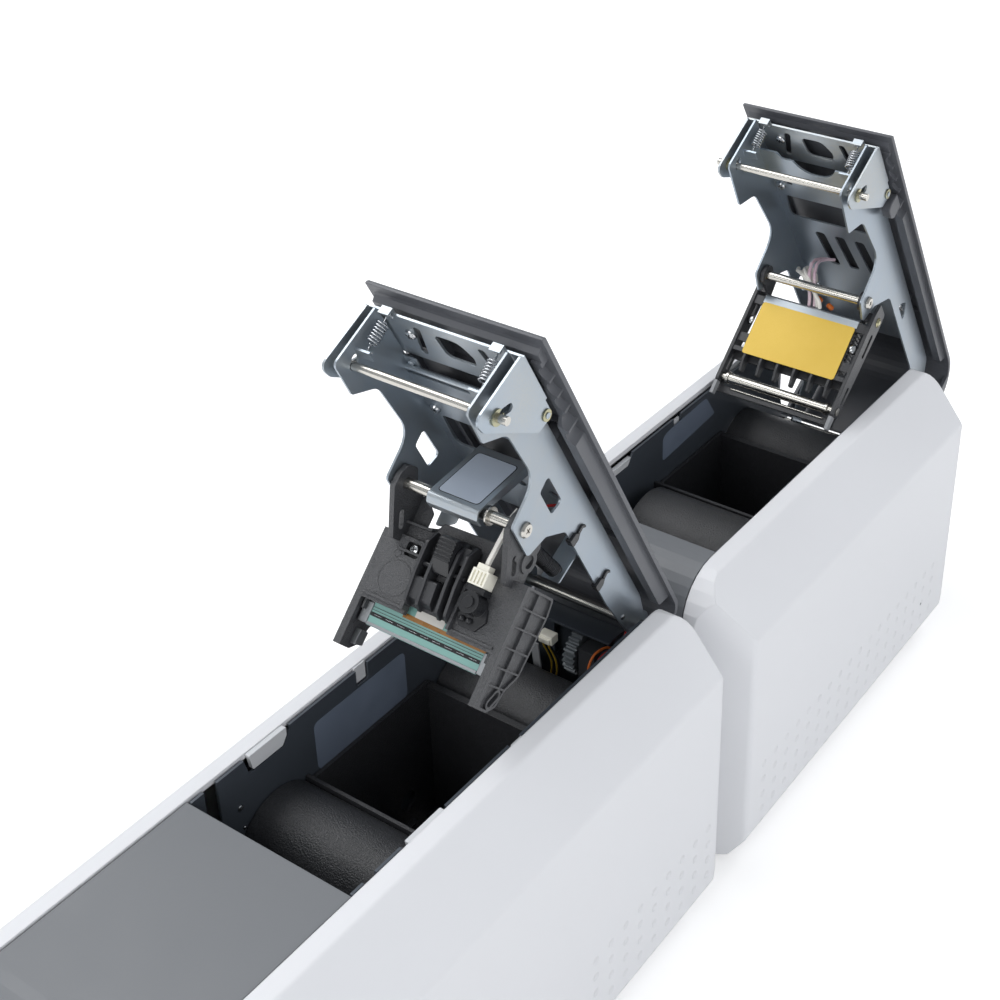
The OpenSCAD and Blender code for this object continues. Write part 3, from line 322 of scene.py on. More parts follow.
# metals
zinc = surface("zinc_plate", rgb(162, 174, 186), 0.34, metal=0.76, tint=rgb(172, 176, 178), tone=0.07,
               patch=11, grain=0.16, grain_at=700, depth=0.00003, stretch=(1, 0.12, 0.12), edge=0.0002)
zinc_fine = surface("zinc_plate_fine", rgb(168, 180, 192), 0.32, metal=0.76, tint=rgb(180, 182, 180),
                    tone=0.07, patch=16, grain=0.12, grain_at=900, depth=0.00002, stretch=(0.15, 1, 1),
                    edge=0.0002)
steel_bright = surface("ground_steel", rgb(200, 197, 190), 0.24, metal=1.0, tone=0.05, patch=40,
                       grain=0.25, grain_at=2600, depth=0.000008, stretch=(1, 0.05, 0.05), edge=0,
                       rough_by=0.03)
spring_steel = surface("spring_steel", rgb(196, 199, 203), 0.2, metal=1.0, patch=200, grain=0.2, edge=0)
spring_black = surface("black_spring", rgb(60, 61, 64), 0.3, metal=0.8, tone=0.15, patch=200, edge=0)
screw_steel = surface("screw_steel", rgb(196, 198, 200), 0.22, metal=1.0, patch=120, edge=0.0002)
clip_yellow = surface("yellow_plate", rgb(196, 184, 140), 0.28, metal=1.0, tone=0.12, patch=150,
                      tint=rgb(150, 160, 150), edge=0.0001)
cast_alu = surface("cast_aluminium", rgb(150, 153, 156), 0.42, metal=0.9, grain=0.5)
motor_dark = surface("motor_shell", rgb(78, 80, 84), 0.42, metal=0.5, tone=0.12, edge=0.0004)
gear_steel = surface("gear_moulding", rgb(110, 116, 120), 0.34, metal=0.2, tone=0.1, edge=0.0002)

# rubbers and leads
rubber = surface("rubber", rgb(32, 32, 34), 0.75, tone=0.2, grain=0.6, grain_at=1800)
roller_red = surface("silicone_rubber", rgb(128, 74, 58), 0.6, tone=0.1, grain=0.4)
red_lead = insulation("red_insulation", rgb(178, 34, 34), tone=0.08)
white_lead = insulation("white_insulation", rgb(240, 237, 230), tone=0.03)
pink_lead = insulation("pink_insulation", rgb(206, 176, 190), rough=0.5, tint=rgb(226, 210, 214), patch=90)
orange_lead = insulation("orange_insulation", rgb(214, 110, 40))
yellow_lead = insulation("yellow_insulation", rgb(190, 160, 60))
black_lead = insulation("black_insulation", rgb(26, 26, 28), tone=0.1)

FINISH = [
    (front_white, "front_panel_right front_panel_left"),
    (rear_white, "rear_panel_right rear_panel_left"),
    (deck_grey, "front_deck rear_deck"),
    (cover_grey, "front_cover"),
    (cover_dark, "rear_cover"),
    (coated, "front_chassis rear_chassis"),
    (grain_and_painted_sparkle, "front_tub rear_tub"),
    (head_black, "head_carrier"),
    (frame_black, "heater_frame head_clamp heater_core"),
    (base_steel, "front_base rear_base"),
    (rubber, "feet platen_roller"),
    (roller_red, "lower_roller"),
    (zinc, "dock_link front_bracket rear_bracket"),
    (zinc_fine, "front_latch_frame rear_latch_frame head_shield"),
    (end_grey, "end_plate"),
    (gloss_black, "inlet rocker thumb_lever head_sensor"),
    (screw_steel, "bracket_screws_front bracket_screws_rear"),
    (gear_steel, "drive_gear"),
    (key_grey, "button_left button_right"),
    (motor_dark, "drive_motor"),
    (red_lead, "loom front_cover_lead"),
    (steel_bright, "front_hinge_shaft rear_hinge_shaft front_latch_shaft rear_latch_shaft"),
    (steel_bright, "head_pivot_shaft heater_pivot_shaft heater_roller"),
    (clip_yellow, "front_latch_clips rear_latch_clips"),
    (spring_steel, "front_latch_springs rear_latch_springs"),
    (spring_black, "return_spring"),
    (ceramic, "head_strip"),
    (cast_alu, "head_block"),
    (plug_cream, "head_plug"),
    (white_lead, "head_wires"),
    (pink_lead, "heater_wires"),
    (yellow, "heater_plate"),
    (guide_grey, "heater_guides"),
]
for material, names in FINISH:
    for name in names.split():
        for slot in nodes[name].material_slots:
            slot.link = "OBJECT"
            slot.material = material

# ---- making pieces --------------------------------------------------


def make(name, bm, body, material, bevel=0.0, smooth=False):
    """Turns a finished bmesh into a piece. One with no body is left unattached."""
    bmesh.ops.recalc_face_normals(bm, faces=bm.faces)
    mesh = bpy.data.meshes.new(name)
    bm.to_mesh(mesh)
    bm.free()
    if smooth:
        for face in mesh.polygons:
            face.use_smooth = True
    obj = bpy.data.objects.new(name, mesh)
    bpy.context.scene.collection.objects.link(obj)
    mesh.materials.append(material)
    if bevel:
        mod = obj.modifiers.new("soft_edges", "BEVEL")
        mod.width = bevel
        mod.segments = 2
        mod.limit_method = "ANGLE"
    if body:
        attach(obj, body)
    return obj


def rect(a, b, c, d):
    """The outline from a to b and from c to d."""
    return [(a, c), (b, c), (b, d), (a, d)]


def soft(outline, r, steps=4):
    """The closed outline with each corner rounded to r, or less on a short side."""
    out = []
    for i, corner in enumerate(outline):
        b = Vector(corner)
        back = Vector(outline[i - 1]) - b
        on = Vector(outline[(i + 1) % len(outline)]) - b
        k = min(r, 0.45 * back.length, 0.45 * on.length)
        start = b + back.normalized() * k
        end = b + on.normalized() * k
        for j in range(steps + 1):
            t = j / steps
            out.append(tuple((1 - t) ** 2 * start + 2 * t * (1 - t) * b + t * t * end))
    return out


def join_rings(bm, rings):
    """Faces between rings that have the same number of points, closed at both ends."""
    for a, b in zip(rings, rings[1:]):
        for i in range(len(a)):
            j = (i + 1) % len(a)
            bm.faces.new((a[i], a[j], b[j], b[i]))
    bm.faces.new(rings[0])
    bm.faces.new(rings[-1])


def prism(bm, axis, outline, lo, hi, place):
    """Adds an outline in the plane across the axis, drawn out along it."""
    at = "xyz".index(axis)
    rings = []
    for level in (lo, hi):
        points = [(*p[:at], level, *p[at:]) for p in outline]
        rings.append([bm.verts.new(place @ Vector(p)) for p in points])
    join_rings(bm, rings)


def lathe(bm, profile, at, along, place, sides=24):
    """Adds a turned form: (radius, distance) pairs round an axis."""
    aim = Vector(along).to_track_quat("Z", "Y")
    rings = []
    for r, far in profile:
        ring = []
        for i in range(sides):
            a = i * math.tau / sides
            point = Vector(at) + aim @ Vector((r * math.cos(a), r * math.sin(a), far))
            ring.append(bm.verts.new(place @ point))
        rings.append(ring)
    join_rings(bm, rings)


def smooth_path(points, steps=6):
    """A curve through all the points, in short steps."""
    p = [Vector(v) for v in points]
    last = len(p) - 1
    out = []
    for i in range(last):
        a, b, c, d = p[max(0, i - 1)], p[i], p[i + 1], p[min(last, i + 2)]
        for j in range(steps):
            t = j / steps
            square = (2 * a - 5 * b + 4 * c - d) * t * t
            cube = (3 * b - a - 3 * c + d) * t ** 3
            out.append(0.5 * (2 * b + (c - a) * t + square + cube))
    return out + [p[-1]]


def wire(bm, path, r, place, sides):
    """Adds a round wire along the path."""
    # a first direction across the wire that no path here runs along
    n = Vector((0.31, 0.22, 0.92))
    rings = []
    for i, p in enumerate(path):
        t = (path[min(i + 1, len(path) - 1)] - path[max(i - 1, 0)]).normalized()
        n = (n - n.dot(t) * t).normalized()
        m = t.cross(n)
        ring = []
        for k in range(sides):
            a = k * math.tau / sides
            ring.append(bm.verts.new(place @ (p + r * (n * math.cos(a) + m * math.sin(a)))))
        rings.append(ring)
    join_rings(bm, rings)


def coil(bm, a, b, r, curls, thick, run, turn, place):
    """Adds a coil of wire from point a to point b, with a straight run and a hook at each end."""
    steps, closing, hook_r = 12, 7.5, 1.5
    d = Vector(b) - Vector(a)
    length = d.length - 2 * run
    hook = []
    for i in range(5):
        t = math.radians(40 * i)
        hook.append((0, hook_r - hook_r * math.cos(t), -run - hook_r * math.sin(t)))
    count = curls * steps
    curl = []
    for i in range(count + 1):
        t = i * math.tau / steps
        radius = r * min(1, i / closing, (count - i) / closing)
        curl.append((radius * math.cos(t), radius * math.sin(t), length * i / count))
    path = hook[::-1] + curl + [(x, y, length - z) for x, y, z in hook]
    heading = Matrix.Rotation(math.atan2(d.y, d.x), 4, "Z")
    tilt = Matrix.Rotation(math.acos(d.z / d.length), 4, "Y")
    spin = Matrix.Rotation(turn, 4, "Z")
    at = place @ shift(*a) @ heading @ tilt @ spin @ shift(0, 0, run)
    wire(bm, [Vector(p) for p in path], thick / 2, at, 8)


def cross(bm, axis, centre, reach, turn, lo, hi, place):
    """Adds the two arms of a screw's recess."""
    centre = Vector(centre)
    for a in (turn, turn + math.pi / 2):
        along = Vector((math.cos(a), math.sin(a))) * reach
        across = Vector((math.sin(a), -math.cos(a))) * 0.3
        arm = [along + across, along - across, -along - across, -along + across]
        prism(bm, axis, [tuple(centre + p) for p in arm], lo, hi, place)


def plate(name, part, axis, outline, lo, hi, material, r=0.0, bevel=0.0):
    """A piece cut to an outline, with its corners rounded to r."""
    place, body = part
    bm = bmesh.new()
    prism(bm, axis, soft(outline, r) if r else outline, lo, hi, place)
    return make(name, bm, body, material, bevel)


def turned(name, part, profile, at, along, material):
    """A turned piece."""
    place, body = part
    bm = bmesh.new()
    lathe(bm, profile, at, along, place)
    obj = make(name, bm, body, material, smooth=True)
    obj.data.set_sharp_from_angle(angle=math.radians(35))
    return obj


def lead(name, part, points, r, material):
    """A round lead along a smooth path."""
    place, body = part
    bm = bmesh.new()
    wire(bm, smooth_path(points), r, place, 10)
    return make(name, bm, body, material, smooth=True)


# ---- the housing ----------------------------------------------------


def blank_cards():
    """Plain cards on the inner faces of the left chassis plates."""
    blue = rgb(104, 114, 130)

    def mottled(n, place, col, height):
        patches = n.span(n.noise(place, 30, 2), 0.45, 0.6, 0, 0.5)
        return n.mix(patches, col, scaled(blue, 1.25)), height

    card = surface("blue_card", blue, 0.5, tone=0.05, extra=mottled, edge=0)
    lo, hi = 0.02 - CHASSIS_X, 0.2 - CHASSIS_X
    plate("front_blank_card", IN_FRONT, "x", rect(79, 147, -12, -42), lo, hi, card, r=4)
    outline = [(98, -27.6), (98, -10.5), (106, -8.3), (150.5, -6.7), (162, -23.5)]
    plate("rear_blank_card", IN_REAR, "x", outline, lo, hi, card, r=3)


def panel_fittings(tag, part, drop):
    """One unit's clips and tabs of its panels, and the rivets in its chassis plates."""
    top = -0.5 - drop
    outer = PANEL_X - 0.05
    clip = [(36.8, top), (38.6, -9.8), (58.2, -9.8), (61.5, -5.2), (61.6, top)]
    tab = rect(111.3, 119.7, top, -10.6)
    for side, word in ((-1, "_left"), (1, "_right")):
        name = tag + word
        lo, hi = sorted((side * outer, side * (CHASSIS_X - 0.2)))
        plate(name + "_clip", part, "x", clip, lo, hi, tab_white, r=0.8, bevel=0.0003)
        lo, hi = sorted((side * outer, side * (outer - 1)))
        plate(name + "_tab", part, "x", tab, lo, hi, tab_white, r=0.8, bevel=0.0002)
        bm = bmesh.new()
        for u, w, r in ((27.5, -25.4, 1.7), (28.4, -38.4, 1.0), (214, -30, 1.9)):
            profile = [(r * 0.6, 0.9), (r, 0.6), (r, 0)]
            lathe(bm, profile, (side * CHASSIS_X, u, w), (-side, 0, 0), part[0], 16)
        make(name + "_rivets", bm, "housing", screw_steel, smooth=True)


def wall_connector():
    """The connector behind the tub, its four leads and a flat strip in front of them."""
    bm = bmesh.new()
    prism(bm, "x", soft(rect(217.5, 223.5, -31.5, -37), 0.6), -13.5, -4.5, FRONT)
    prism(bm, "x", soft(rect(216.2, 218, -33, -36), 0.3), -12.5, -5.5, FRONT)
    make("wall_connector", bm, "housing", plug_cream, 0.0002)
    colours = (yellow_lead, black_lead, yellow_lead, black_lead)
    for i, (colour, x) in enumerate(zip(colours, (-11.4, -9.6, -7.8, -6.2))):
        path = [(x, 219, -36.8), (x, 219.4, -40), (x + 1.2, 221, -45), (x + 3, 222, -52),
                (x + 3.4, 221, -60), (x + 2, 219, -68)]
        lead("wall_lead_%d" % i, IN_FRONT, path, 0.55, colour)
    strip = [(208.9, -31), (209.9, -31), (212.8, -53), (211.8, -53)]
    plate("wall_strip", IN_FRONT, "x", strip, -12.5, -7.5, guide_grey, bevel=0.0001)


def motor_leads():
    """Three leads that rise at the motor and arch forwards."""
    orange = [(32.6, 230, -42), (31.8, 227, -31), (30.6, 220, -23.4), (29.4, 211, -21.6),
              (28.6, 205.6, -26), (28.8, 204.6, -34), (30, 207, -42)]
    red = [(32.8, 232, -44), (32.4, 228.6, -33), (32, 222, -26), (31.2, 214, -24.6),
           (30.6, 209.4, -28), (30.6, 208, -36), (31, 209, -44)]
    inner = [(31, 229, -43), (30.8, 225, -33), (30.4, 218, -28), (30, 212.6, -31), (30, 211.6, -40)]
    lead("orange_loom", IN_FRONT, orange, 0.7, orange_lead)
    lead("red_loom", IN_FRONT, red, 0.7, red_lead)
    lead("red_loom_inner", IN_FRONT, inner, 0.6, red_lead)


# ---- the covers -----------------------------------------------------


def latch_fittings(tag, place):
    """One cover's pivot clips, the screw in its latch frame's web and two plates on its bracket."""
    shaft_u, shaft_w, clip_x = 44, -12, 43.55
    clip = [(1.55, 0), (3.1, 0.02), (3.1, 0.7), (1.55, 0.72)]
    bm = bmesh.new()
    for side in (-1, 1):
        lathe(bm, clip, (side * clip_x, shaft_u, shaft_w), (side, 0, 0), place)
    make(tag + "_pivot_clips", bm, tag + "_latch", clip_yellow, 0.0001)

    x, u = -24, 18
    bm = bmesh.new()
    lathe(bm, [(3.1, 0), (3.1, 0.7), (2.5, 1.5), (1.2, 1.9)], (x, u, -8.6), (0, 0, -1), place)
    make(tag + "_web_screw", bm, tag + "_latch", screw_steel, 0.0001, True)
    bm = bmesh.new()
    cross(bm, "z", (x, u), 1.7, 0.4, -10.56, -10.2, place)
    make(tag + "_web_screw_cross", bm, tag + "_latch", gloss_black)

    # small plates at the bracket's arms, near the latch frame's pivots, each with its rivet
    bm = bmesh.new()
    for side in (-1, 1):
        out, mid, near = side * FRAME_X, side * 31, side * 28.5
        outline = [(out, 37.2), (near, 37.2), (near, 45.5), (mid, 47.5), (out, 47.5)]
        prism(bm, "z", soft(outline, 1.4), -10.9, -10.1, place)
        lathe(bm, [(1.7, 0), (1.7, 0.8), (0.9, 1.3)], (side * 33, 41, -10.9), (0, 0, -1), place, 16)
    make(tag + "_spring_anchor", bm, tag + "_cover", zinc_fine, 0.0001)


def latch_coils(tag, place):
    """One cover's two latch springs, made as they stand at rest and left unattached; the real ones stretch
    as the latch frame turns.
    """
    upper, lower = (31, 5.8, -10.65), (31.6, 9, -27.15)
    bm = bmesh.new()
    for side in (-1, 1):
        mirrored = place @ Matrix.Scale(side, 4, (1, 0, 0))
        coil(bm, upper, lower, r=2.9, curls=8, thick=0.9, run=2.4, turn=0, place=mirrored)
    obj = make(tag + "_latch_coils", bm, None, spring_steel, smooth=True)
    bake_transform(obj)
    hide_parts(tag + "_latch_springs")


def return_coil():
    """The print head's return spring, made as it stands at rest and left unattached; the real one stretches
    as the head swings.
    """
    pin, tab = (29.6, 112, -47), (29.6, 149.4, -41)
    bm = bmesh.new()
    coil(bm, pin, tab, r=3.6, curls=20, thick=0.8, run=3.2, turn=math.pi / 2, place=FRONT_COVER)
    obj = make("return_coil", bm, None, spring_black, smooth=True)
    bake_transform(obj)
    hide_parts("return_spring")


def shield_blank():
    """A plain plate with a dark rim on the shield's sloping face."""
    upper, lower = Vector((0, 98.2, -13.6)), Vector((0, 83.4, -51.4))
    across = Vector((1, 0, 0))
    down = (lower - upper).normalized()
    axes = Matrix((across, down, across.cross(down))).transposed().to_4x4()
    face = (FRONT_COVER @ shift(*upper) @ axes, "front_cover")
    rim = rect(-12.2, 12.2, 4.6, 37)
    blank = rect(-11.8, 11.8, 5, 36.6)
    plate("shield_blank_rim", face, "z", rim, -0.08, -0.01, black_lead, r=2.6)
    plate("shield_blank", face, "z", blank, -0.13, -0.08, blank_plate, r=2.4)


def arm_fittings():
    """The black clips that hold the lead on the right arm, and the arm's rivet."""
    bm = bmesh.new()
    for u, w in ((131, -29.6), (176, -30)):
        foot = [(-2.6, -2), (2.6, -2), (2.9, 2.6), (1, 5.4), (-2.2, 3.4)]
        tail = [(-0.2, 5), (1.8, 4.6), (1.2, 8.6), (3.2, 10.4), (1.6, 11), (-0.8, 8.8)]
        back = rect(-3.2, -2.2, 0.4, 5.6)
        for outline, r, lo, hi in ((foot, 0.7, 36, 39.2), (tail, 0.4, 37.6, 38.8), (back, 0.3, 34.2, 36.2)):
            placed = [(u + du, w + dw) for du, dw in outline]
            prism(bm, "x", soft(placed, r), lo, hi, FRONT_COVER)
    make("arm_clips", bm, "front_cover", gloss_black, 0.0002)
    turned("arm_rivet", ON_FRONT_COVER, [(1.6, 0), (1.6, 0.3), (0.9, 0.8)], (FRAME_X, 218.2, -25.9),
           (1, 0, 0), screw_steel)


def cover_catch():
    """The catch on the right of the rear cover's inner side."""
    outline = [(50.5, -6), (62.5, -6), (63, -15.5), (59.6, -18.6), (52, -18.2), (50, -14)]
    plate("cover_catch", ON_REAR_COVER, "x", outline, 40.6, 46.4, cover_dark, r=1.6,
          bevel=0.0006)


# ---- the print head -------------------------------------------------


def ceramic_strip():
    """The strip's dark band with its dashes, two fine lines, its lip and its end blocks."""
    band_x, lip_x, end_x, out_x = 33, STRIP_X, 33.4, 38.8
    band = rect(-band_x, band_x, 4.8, 4.88)
    plate("strip_band", ON_HEAD, "z", band, -41.6, -39.7, band_brown)
    bm = bmesh.new()
    for i in range(9):
        x = -31 + i * 7.2
        prism(bm, "z", rect(x, x + 4.6, 4.74, 4.8), -40.75, -40.5, HEAD)
    make("strip_dashes", bm, "print_head", screw_steel)
    bm = bmesh.new()
    for w in (-38.6, -37.2):
        prism(bm, "z", rect(-band_x, band_x, 4.84, 4.9), w - 0.12, w + 0.12, HEAD)
    make("strip_lines", bm, "print_head", gloss_black)
    lip = rect(-lip_x, lip_x, 4.6, 5.2)
    plate("strip_lip", ON_HEAD, "z", lip, -46.2, -44.7, cast_alu, bevel=0.0001)
    for name, a, b in (("strip_end_left", -out_x, -end_x), ("strip_end_right", end_x, out_x)):
        end = rect(a, b, 4.6, 9)
        plate(name, ON_HEAD, "z", end, -46, -35.6, cast_alu, r=0.5, bevel=0.0002)


def flex():
    """The edge of the flex over the strip, and the pale card on it."""
    edge = [(-16, -36.2), (34, -36.2), (34, -35), (9, -34.2), (-16, -33.8)]
    card = rect(-9.5, 7.5, -34, -28)
    plate("flex_edge", ON_HEAD, "y", edge, 5.02, 5.1, flex_amber)
    plate("flex_card", ON_HEAD, "y", card, 4.94, 5.02, flex_pale, r=0.5)


def leg_inserts():
    """Cast inserts at the lower ends of the carrier's legs."""
    outline = soft([(9, -57.6), (15.6, -57), (15.8, -50), (9, -49.6)], 0.5)
    bm = bmesh.new()
    for side in (-1, 1):
        lo, hi = sorted((side * 36.9, side * 40.2))
        prism(bm, "x", outline, lo, hi, HEAD)
    make("leg_inserts", bm, "print_head", cast_alu, 0.0003)


def head_screw():
    """The screw in the carrier's window, with its recess."""
    x, w = -22.9, -5
    profile = [(2.7, 0), (2.7, 0.8), (2.1, 1.7), (0.9, 2.0)]
    turned("head_screw", ON_HEAD, profile, (x, 2.2, w), (0, -1, 0), screw_steel)
    bm = bmesh.new()
    cross(bm, "y", (x, w), 1.5, 0.3, 0.14, 0.5, HEAD)
    make("head_screw_cross", bm, "print_head", gloss_black)


def carrier_forms():
    """The carrier's wing and web at its left ear, its raised wall, its rail and two near-black sheets of
    painted shade behind its windows.
    """
    wing = [(-32.6, 5.6), (-23.3, 7.4), (-23.3, 14.6), (-30.4, 21), (-32.6, 21)]
    wall = [(-35.4, -0.6), (-35.4, 5.2), (-24, 7), (-16.4, 8.8), (-14.6, 12.2), (28.6, 13.4), (28.6, -0.6)]
    web = [(-4, 10), (-6, 19), (-2, 21.5), (4.8, 20.5), (4.8, 3), (0, 4)]
    rail = [(-37, 5.2), (-16.6, 6), (-16.6, 7.4), (-29.6, 6.9), (-37, 6.6)]
    for name, axis, outline, lo, hi, r, bevel in (
        ("carrier_wing", "y", wing, 3.6, 5, 0.8, 0.0003),
        ("carrier_wall", "y", wall, 3, 4.4, 1.2, 0.0004),
        ("ear_web", "x", web, -35, -32.4, 1, 0.0003),
        ("carrier_rail", "y", rail, -1.6, 3, 0.4, 0.0003),
    ):
        plate(name, ON_HEAD, axis, outline, lo, hi, head_black, r=r, bevel=bevel)
    # near-black sheets behind the two windows, standing for the shade seen through them: painted shade
    for i, window in enumerate((rect(-29.5, -17, -12, -0.4), rect(14.8, 30, -25, -12))):
        plate("carrier_window_shade_%d" % i, ON_HEAD, "y", window, 3.02, 3.8, black_lead,
              bevel=0.0002)


def lever_ridges():
    """Six ridges down the face of the thumb lever."""
    bm = bmesh.new()
    for i in range(6):
        y, z = -12.75 + i * 0.2, 5.2 - i * 1.9
        ridge = [(y - 0.5, z), (y + 0.6, z + 0.1), (y + 0.6, z - 0.9), (y - 0.5, z - 0.8)]
        prism(bm, "x", soft(ridge, 0.3, 2), -3.6, 5.8, HEAD)
    make("lever_ridges", bm, "thumb_lever", gloss_black)


def shield_leg():
    """The leg of the shield, folded down from its upper flange."""
    outline = [(-15, 49.6), (-4, 49.6), (-16.5, 23), (-16.5, 15), (-23, 11), (-27, 10.4), (-27, 22)]
    plate("shield_leg", (HEAD, "front_cover"), "y", outline, 14.6, 15.6, zinc_fine, r=1.5,
          bevel=0.0002)


def mould_marks():
    """Witness marks of the mould on the carrier's face: shallow rings, each with a disc inside."""
    bm = bmesh.new()
    large = [(9.2, 0), (9.2, 0.12), (8.9, 0.12), (8.8, 0.05), (0.2, 0.05)]
    small = [(2.1, 0), (2.1, 0.14), (1.9, 0.14), (1.8, 0.05), (0.2, 0.05)]
    lathe(bm, large, (-26, 0, -21), (0, -1, 0), HEAD, 40)
    lathe(bm, small, (-30, 0, -9.4), (0, -1, 0), HEAD)
    make("mould_marks", bm, "print_head", head_black)


def head_lead_ends():
    """The coloured ends of the head's lead, above its plug."""
    orange = [(25, -6.4, 28.6), (25.8, -5.2, 31.4), (27.4, -2.6, 33.4), (28.8, 0.4, 34.2)]
    red = [(24.6, -5.6, 28.6), (25.2, -4, 31), (26.4, -1.2, 32.6), (27.6, 1.8, 33)]
    lead("head_lead_end", ON_HEAD, orange, 0.75, orange_lead)
    lead("head_lead_end_red", ON_HEAD, red, 0.6, red_lead)


# ---- the heater -----------------------------------------------------


def heater_wiring():
    """Two leads from the top of the heater's core, their wrinkled sleeve and two beads near them."""
    white = [(4, 1, -13), (3, -2, -10), (-1, -4, -6), (-6, -5, -1), (-14, -2, 4), (-20, 4, 8),
             (-24, 8, 10), (-26, 12, 13)]
    cream = [(1.6, 2, -12.4), (0, -1.4, -8), (-4, -4, -3), (-10, -4.6, 3), (-16, 0, 8.6), (-19, 6, 12),
             (-20, 11, 15)]
    lead("heater_lead_white", ON_HEATER, white, 1.3, white_lead)
    lead("heater_lead_cream", ON_HEATER, cream, 1.1, white_lead)
    fold = soft([(-3.4, -2.2), (3.2, -2.8), (3.8, 1.8), (-2.6, 2.8)], 1.2)
    bm = bmesh.new()
    for x, z, turn in ((-20, 11.5, 0.3), (-16.5, 13, -0.5), (-13, 9.5, 0.9)):
        place = HEATER @ shift(x, 12, z) @ Matrix.Rotation(turn, 4, "Y")
        prism(bm, "y", fold, -1.4, 1.2, place)
    make("lead_sleeve", bm, "heater", flex_pale, 0.0006)
    bead = [(0.6, -2.6), (1.6, -2), (1.8, 0), (1.6, 2), (0.6, 2.6)]
    bm = bmesh.new()
    for x, z in ((-1, -5.6), (8, -8.6)):
        lathe(bm, bead, (x, 6, z), (0.9, 0.2, -0.4), HEATER, 16)
    make("heater_beads", bm, "heater", orange_lead, smooth=True)


def heater_faces():
    """The heater's folded top edge and its plain yellow face."""
    fold = [(-0.72, -15.1), (0.5, -13.8), (10.1, -13.8), (10.1, -14.05), (0.7, -14.05), (-0.62, -15.3),
            (-0.62, -20), (-0.72, -20)]
    face = rect(-32.6, 33, -19.9, -56.6)
    plate("heater_fold", ON_HEATER, "x", fold, -33.3, 33.3, zinc_fine)
    plate("heater_face", ON_HEATER, "y", face, -1.9, -1.42, yellow, r=2, bevel=0.0001)


def heater_fixings():
    """The heater's side screws, the guard wire under its roller and the caps of its core."""
    heater_x = 42
    screw = [(3.2, 0), (3.2, 0.25), (1.9, 0.3), (1.9, 0.9), (1.4, 1.2)]
    bm = bmesh.new()
    for side in (-1, 1):
        lathe(bm, screw, (side * heater_x, 6.8, -9.8), (side, 0, 0), HEATER)
    make("heater_side_screws", bm, "heater", clip_yellow, smooth=True)
    guard = [(-31.5, 4.4, -80.4), (-29, 4.2, -80.5), (0, 4.2, -80.5), (30, 4.2, -80.5), (34, 4.4, -80.4)]
    lead("guard_wire", ON_HEATER, guard, 0.45, steel_bright)
    cap = [(3.4, 0), (3.2, 0.9), (2.2, 1.7), (0.8, 2.1)]
    bm = bmesh.new()
    for side in (-1, 1):
        lathe(bm, cap, (side * 36.6, 1.2, -33.2), (side * 0.6, -0.8, 0), HEATER)
    make("heater_side_caps", bm, "heater", screw_steel, smooth=True)


# ---- all the pieces -------------------------------------------------

blank_cards()
panel_fittings("front", IN_FRONT, 0)
panel_fittings("rear", IN_REAR, 5)
wall_connector()
motor_leads()
COVERS = (("front", FRONT_COVER), ("rear", REAR_COVER))
for tag, place in COVERS:
    latch_fittings(tag, place)
for tag, place in COVERS:
    latch_coils(tag, place)
return_coil()
shield_blank()
arm_fittings()
ceramic_strip()
flex()
leg_inserts()
head_screw()
carrier_forms()
lever_ridges()
shield_leg()
mould_marks()
head_lead_ends()
cover_catch()
heater_wiring()
heater_faces()
heater_fixings()

# ---- floor, light, camera -------------------------------------------

FLOOR_REACH = 14
FLOOR_GREY, FLOOR_LIFT = (0.8, 0.8, 0.8), 0.42
# the lift grows between these distances, where the lamps' light fades out
FADE_FROM, FADE_TO, FAR_LIFT = 1.2, 5.0, 0.8
SKY = (0.92, 0.95, 1.0)
SKY_STRENGTH = 0.5
MIRROR_LOW, MIRROR_HIGH = (0.6, 0.65, 0.7), (0.84, 0.87, 0.9)


def pale(name, colour, lift):
    """Matt, with a lift that only the camera, mirrors and glass see, so shadows stay."""
    material = bpy.data.materials.new(name)
    material.use_nodes = True
    n = Nodes(material.node_tree)
    out = n.add("OutputMaterial")
    flat = n.add("BsdfDiffuse")
    glow = n.add("Emission")
    both = n.add("AddShader")
    flat.inputs["Color"].default_value = (*colour, 1)
    rays = n.add("LightPath")
    seen = n.math("MAXIMUM", rays.outputs["Is Camera Ray"], rays.outputs["Is Glossy Ray"])
    seen = n.math("MAXIMUM", seen, rays.outputs["Is Transmission Ray"])
    far = n.add("VectorMath", operation="LENGTH")
    n.link(n.add("TexCoord").outputs["Object"], far.inputs[0])
    lifted = n.span(far.outputs["Value"], FADE_FROM, FADE_TO, lift, FAR_LIFT)
    n.link(n.math("MULTIPLY", seen, lifted), glow.inputs["Strength"])
    n.link(flat.outputs[0], both.inputs[0])
    n.link(glow.outputs[0], both.inputs[1])
    n.link(both.outputs[0], out.inputs["Surface"])
    return material


def floor():
    """The plain floor, which isn't part of the object."""
    bm = bmesh.new()
    bmesh.ops.create_grid(bm, x_segments=1, y_segments=1, size=FLOOR_REACH)
    mesh = bpy.data.meshes.new("floor")
    bm.to_mesh(mesh)
    bm.free()
    mesh.materials.append(pale("pale_floor", FLOOR_GREY, FLOOR_LIFT))
    obj = bpy.data.objects.new("floor", mesh)
    bpy.context.scene.collection.objects.link(obj)


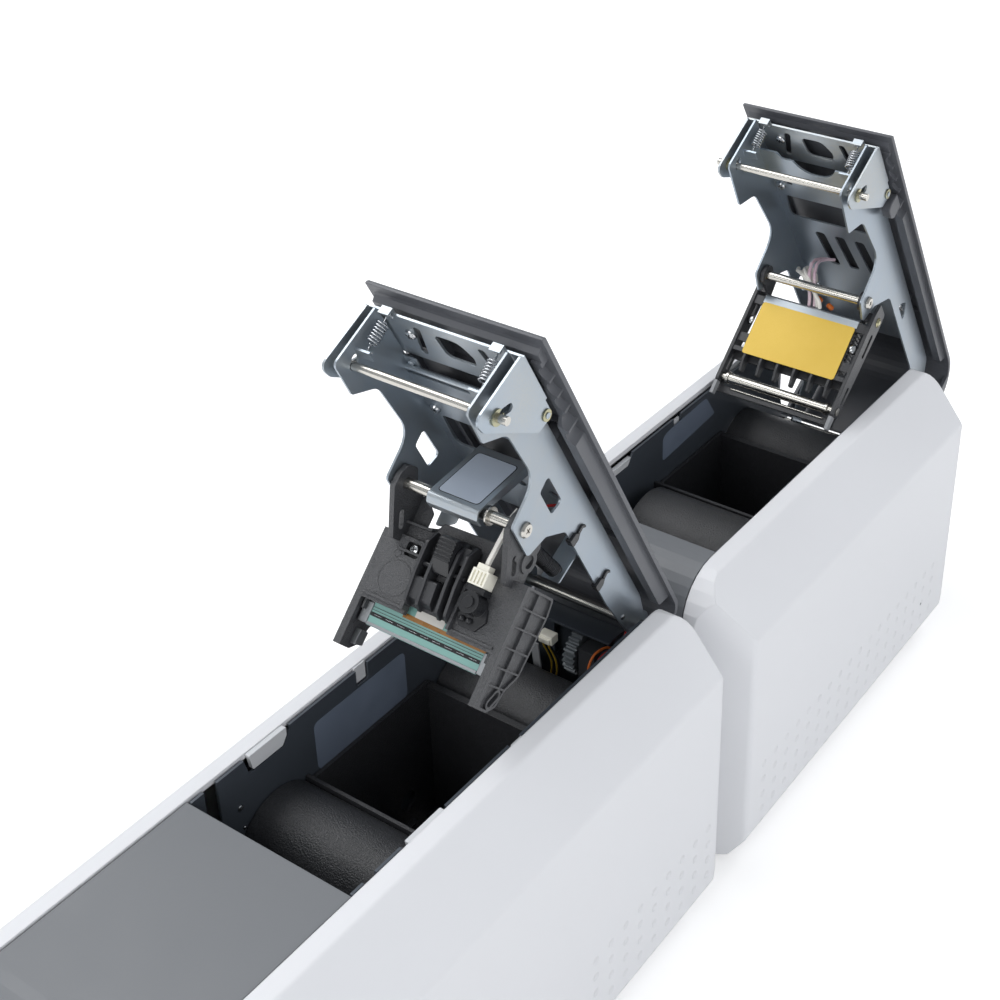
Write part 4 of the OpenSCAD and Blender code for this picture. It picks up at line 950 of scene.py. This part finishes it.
def studio():
    """White where the camera sees it, a pale sky for the light, and a darker low part in mirrors."""
    world = bpy.data.worlds.new("studio")
    bpy.context.scene.world = world
    world.use_nodes = True
    n = Nodes(world.node_tree)
    out = n.add("OutputWorld")
    fill = n.add("Background")
    white = n.add("Background")
    pick = n.add("MixShader")
    fill.inputs["Strength"].default_value = SKY_STRENGTH
    white.inputs["Color"].default_value = (1, 1, 1, 1)
    white.inputs["Strength"].default_value = 1.0
    rays = n.add("LightPath")
    direct = n.math("MAXIMUM", rays.outputs["Is Camera Ray"], rays.outputs["Is Transmission Ray"])
    up = n.add("SeparateXYZ")
    n.link(n.add("TexCoord").outputs["Generated"], up.inputs[0])
    mirrored = n.mix(n.span(up.outputs[2], -0.1, 0.75, 0, 1, True), MIRROR_LOW, MIRROR_HIGH)
    n.link(n.mix(rays.outputs["Is Glossy Ray"], SKY, mirrored), fill.inputs["Color"])
    n.link(direct, pick.inputs[0])
    n.link(fill.outputs[0], pick.inputs[1])
    n.link(white.outputs[0], pick.inputs[2])
    n.link(pick.outputs[0], out.inputs["Surface"])


def lamp(name, at, target, size, power, mirrored=True):
    data = bpy.data.lights.new(name, "AREA")
    data.shape = "RECTANGLE"
    data.size, data.size_y = size
    data.energy = power
    obj = bpy.data.objects.new(name, data)
    obj.location = at
    obj.rotation_mode = "QUATERNION"
    obj.rotation_quaternion = (Vector(target) - Vector(at)).to_track_quat("-Z", "Y")
    obj.visible_glossy = mirrored
    bpy.context.scene.collection.objects.link(obj)


def camera():
    """The photograph's viewpoint, as fitted to the object's edges."""
    data = bpy.data.cameras.new("camera")
    data.sensor_width = 36
    data.lens = 58.72
    data.shift_x, data.shift_y = -0.1016, -0.1072
    data.clip_start, data.clip_end = 0.02, 60
    azimuth, elevation, roll = (math.radians(a) for a in (34.33, 30.06, -0.16))
    level = math.cos(elevation)
    back = Vector((math.sin(azimuth) * level, -math.cos(azimuth) * level, math.sin(elevation)))
    obj = bpy.data.objects.new("camera", data)
    obj.location = (0.4114, -0.58624, 0.7256)
    obj.rotation_mode = "QUATERNION"
    obj.rotation_quaternion = (-back).to_track_quat("-Z", "Y") @ Quaternion((0, 0, 1), roll)
    bpy.context.scene.collection.objects.link(obj)
    bpy.context.scene.camera = obj


floor()
studio()
lamp("key", (-1.5, 0.0, 2.2), (0, 0, 0.2), (1.6, 1.6), 30)
lamp("front", (-0.4, -2.6, 1.7), (0, 0, 0.2), (1.8, 1.4), 27)
lamp("right_fill", (2.2, -0.9, 1.1), (0, 0, 0.2), (2.2, 1.6), 20, False)
lamp("rear_rim", (0.5, 2.2, 1.7), (0, 0.1, 0.25), (1.4, 1.0), 14, False)
camera()
bpy.context.scene.view_settings.view_transform = "Standard"
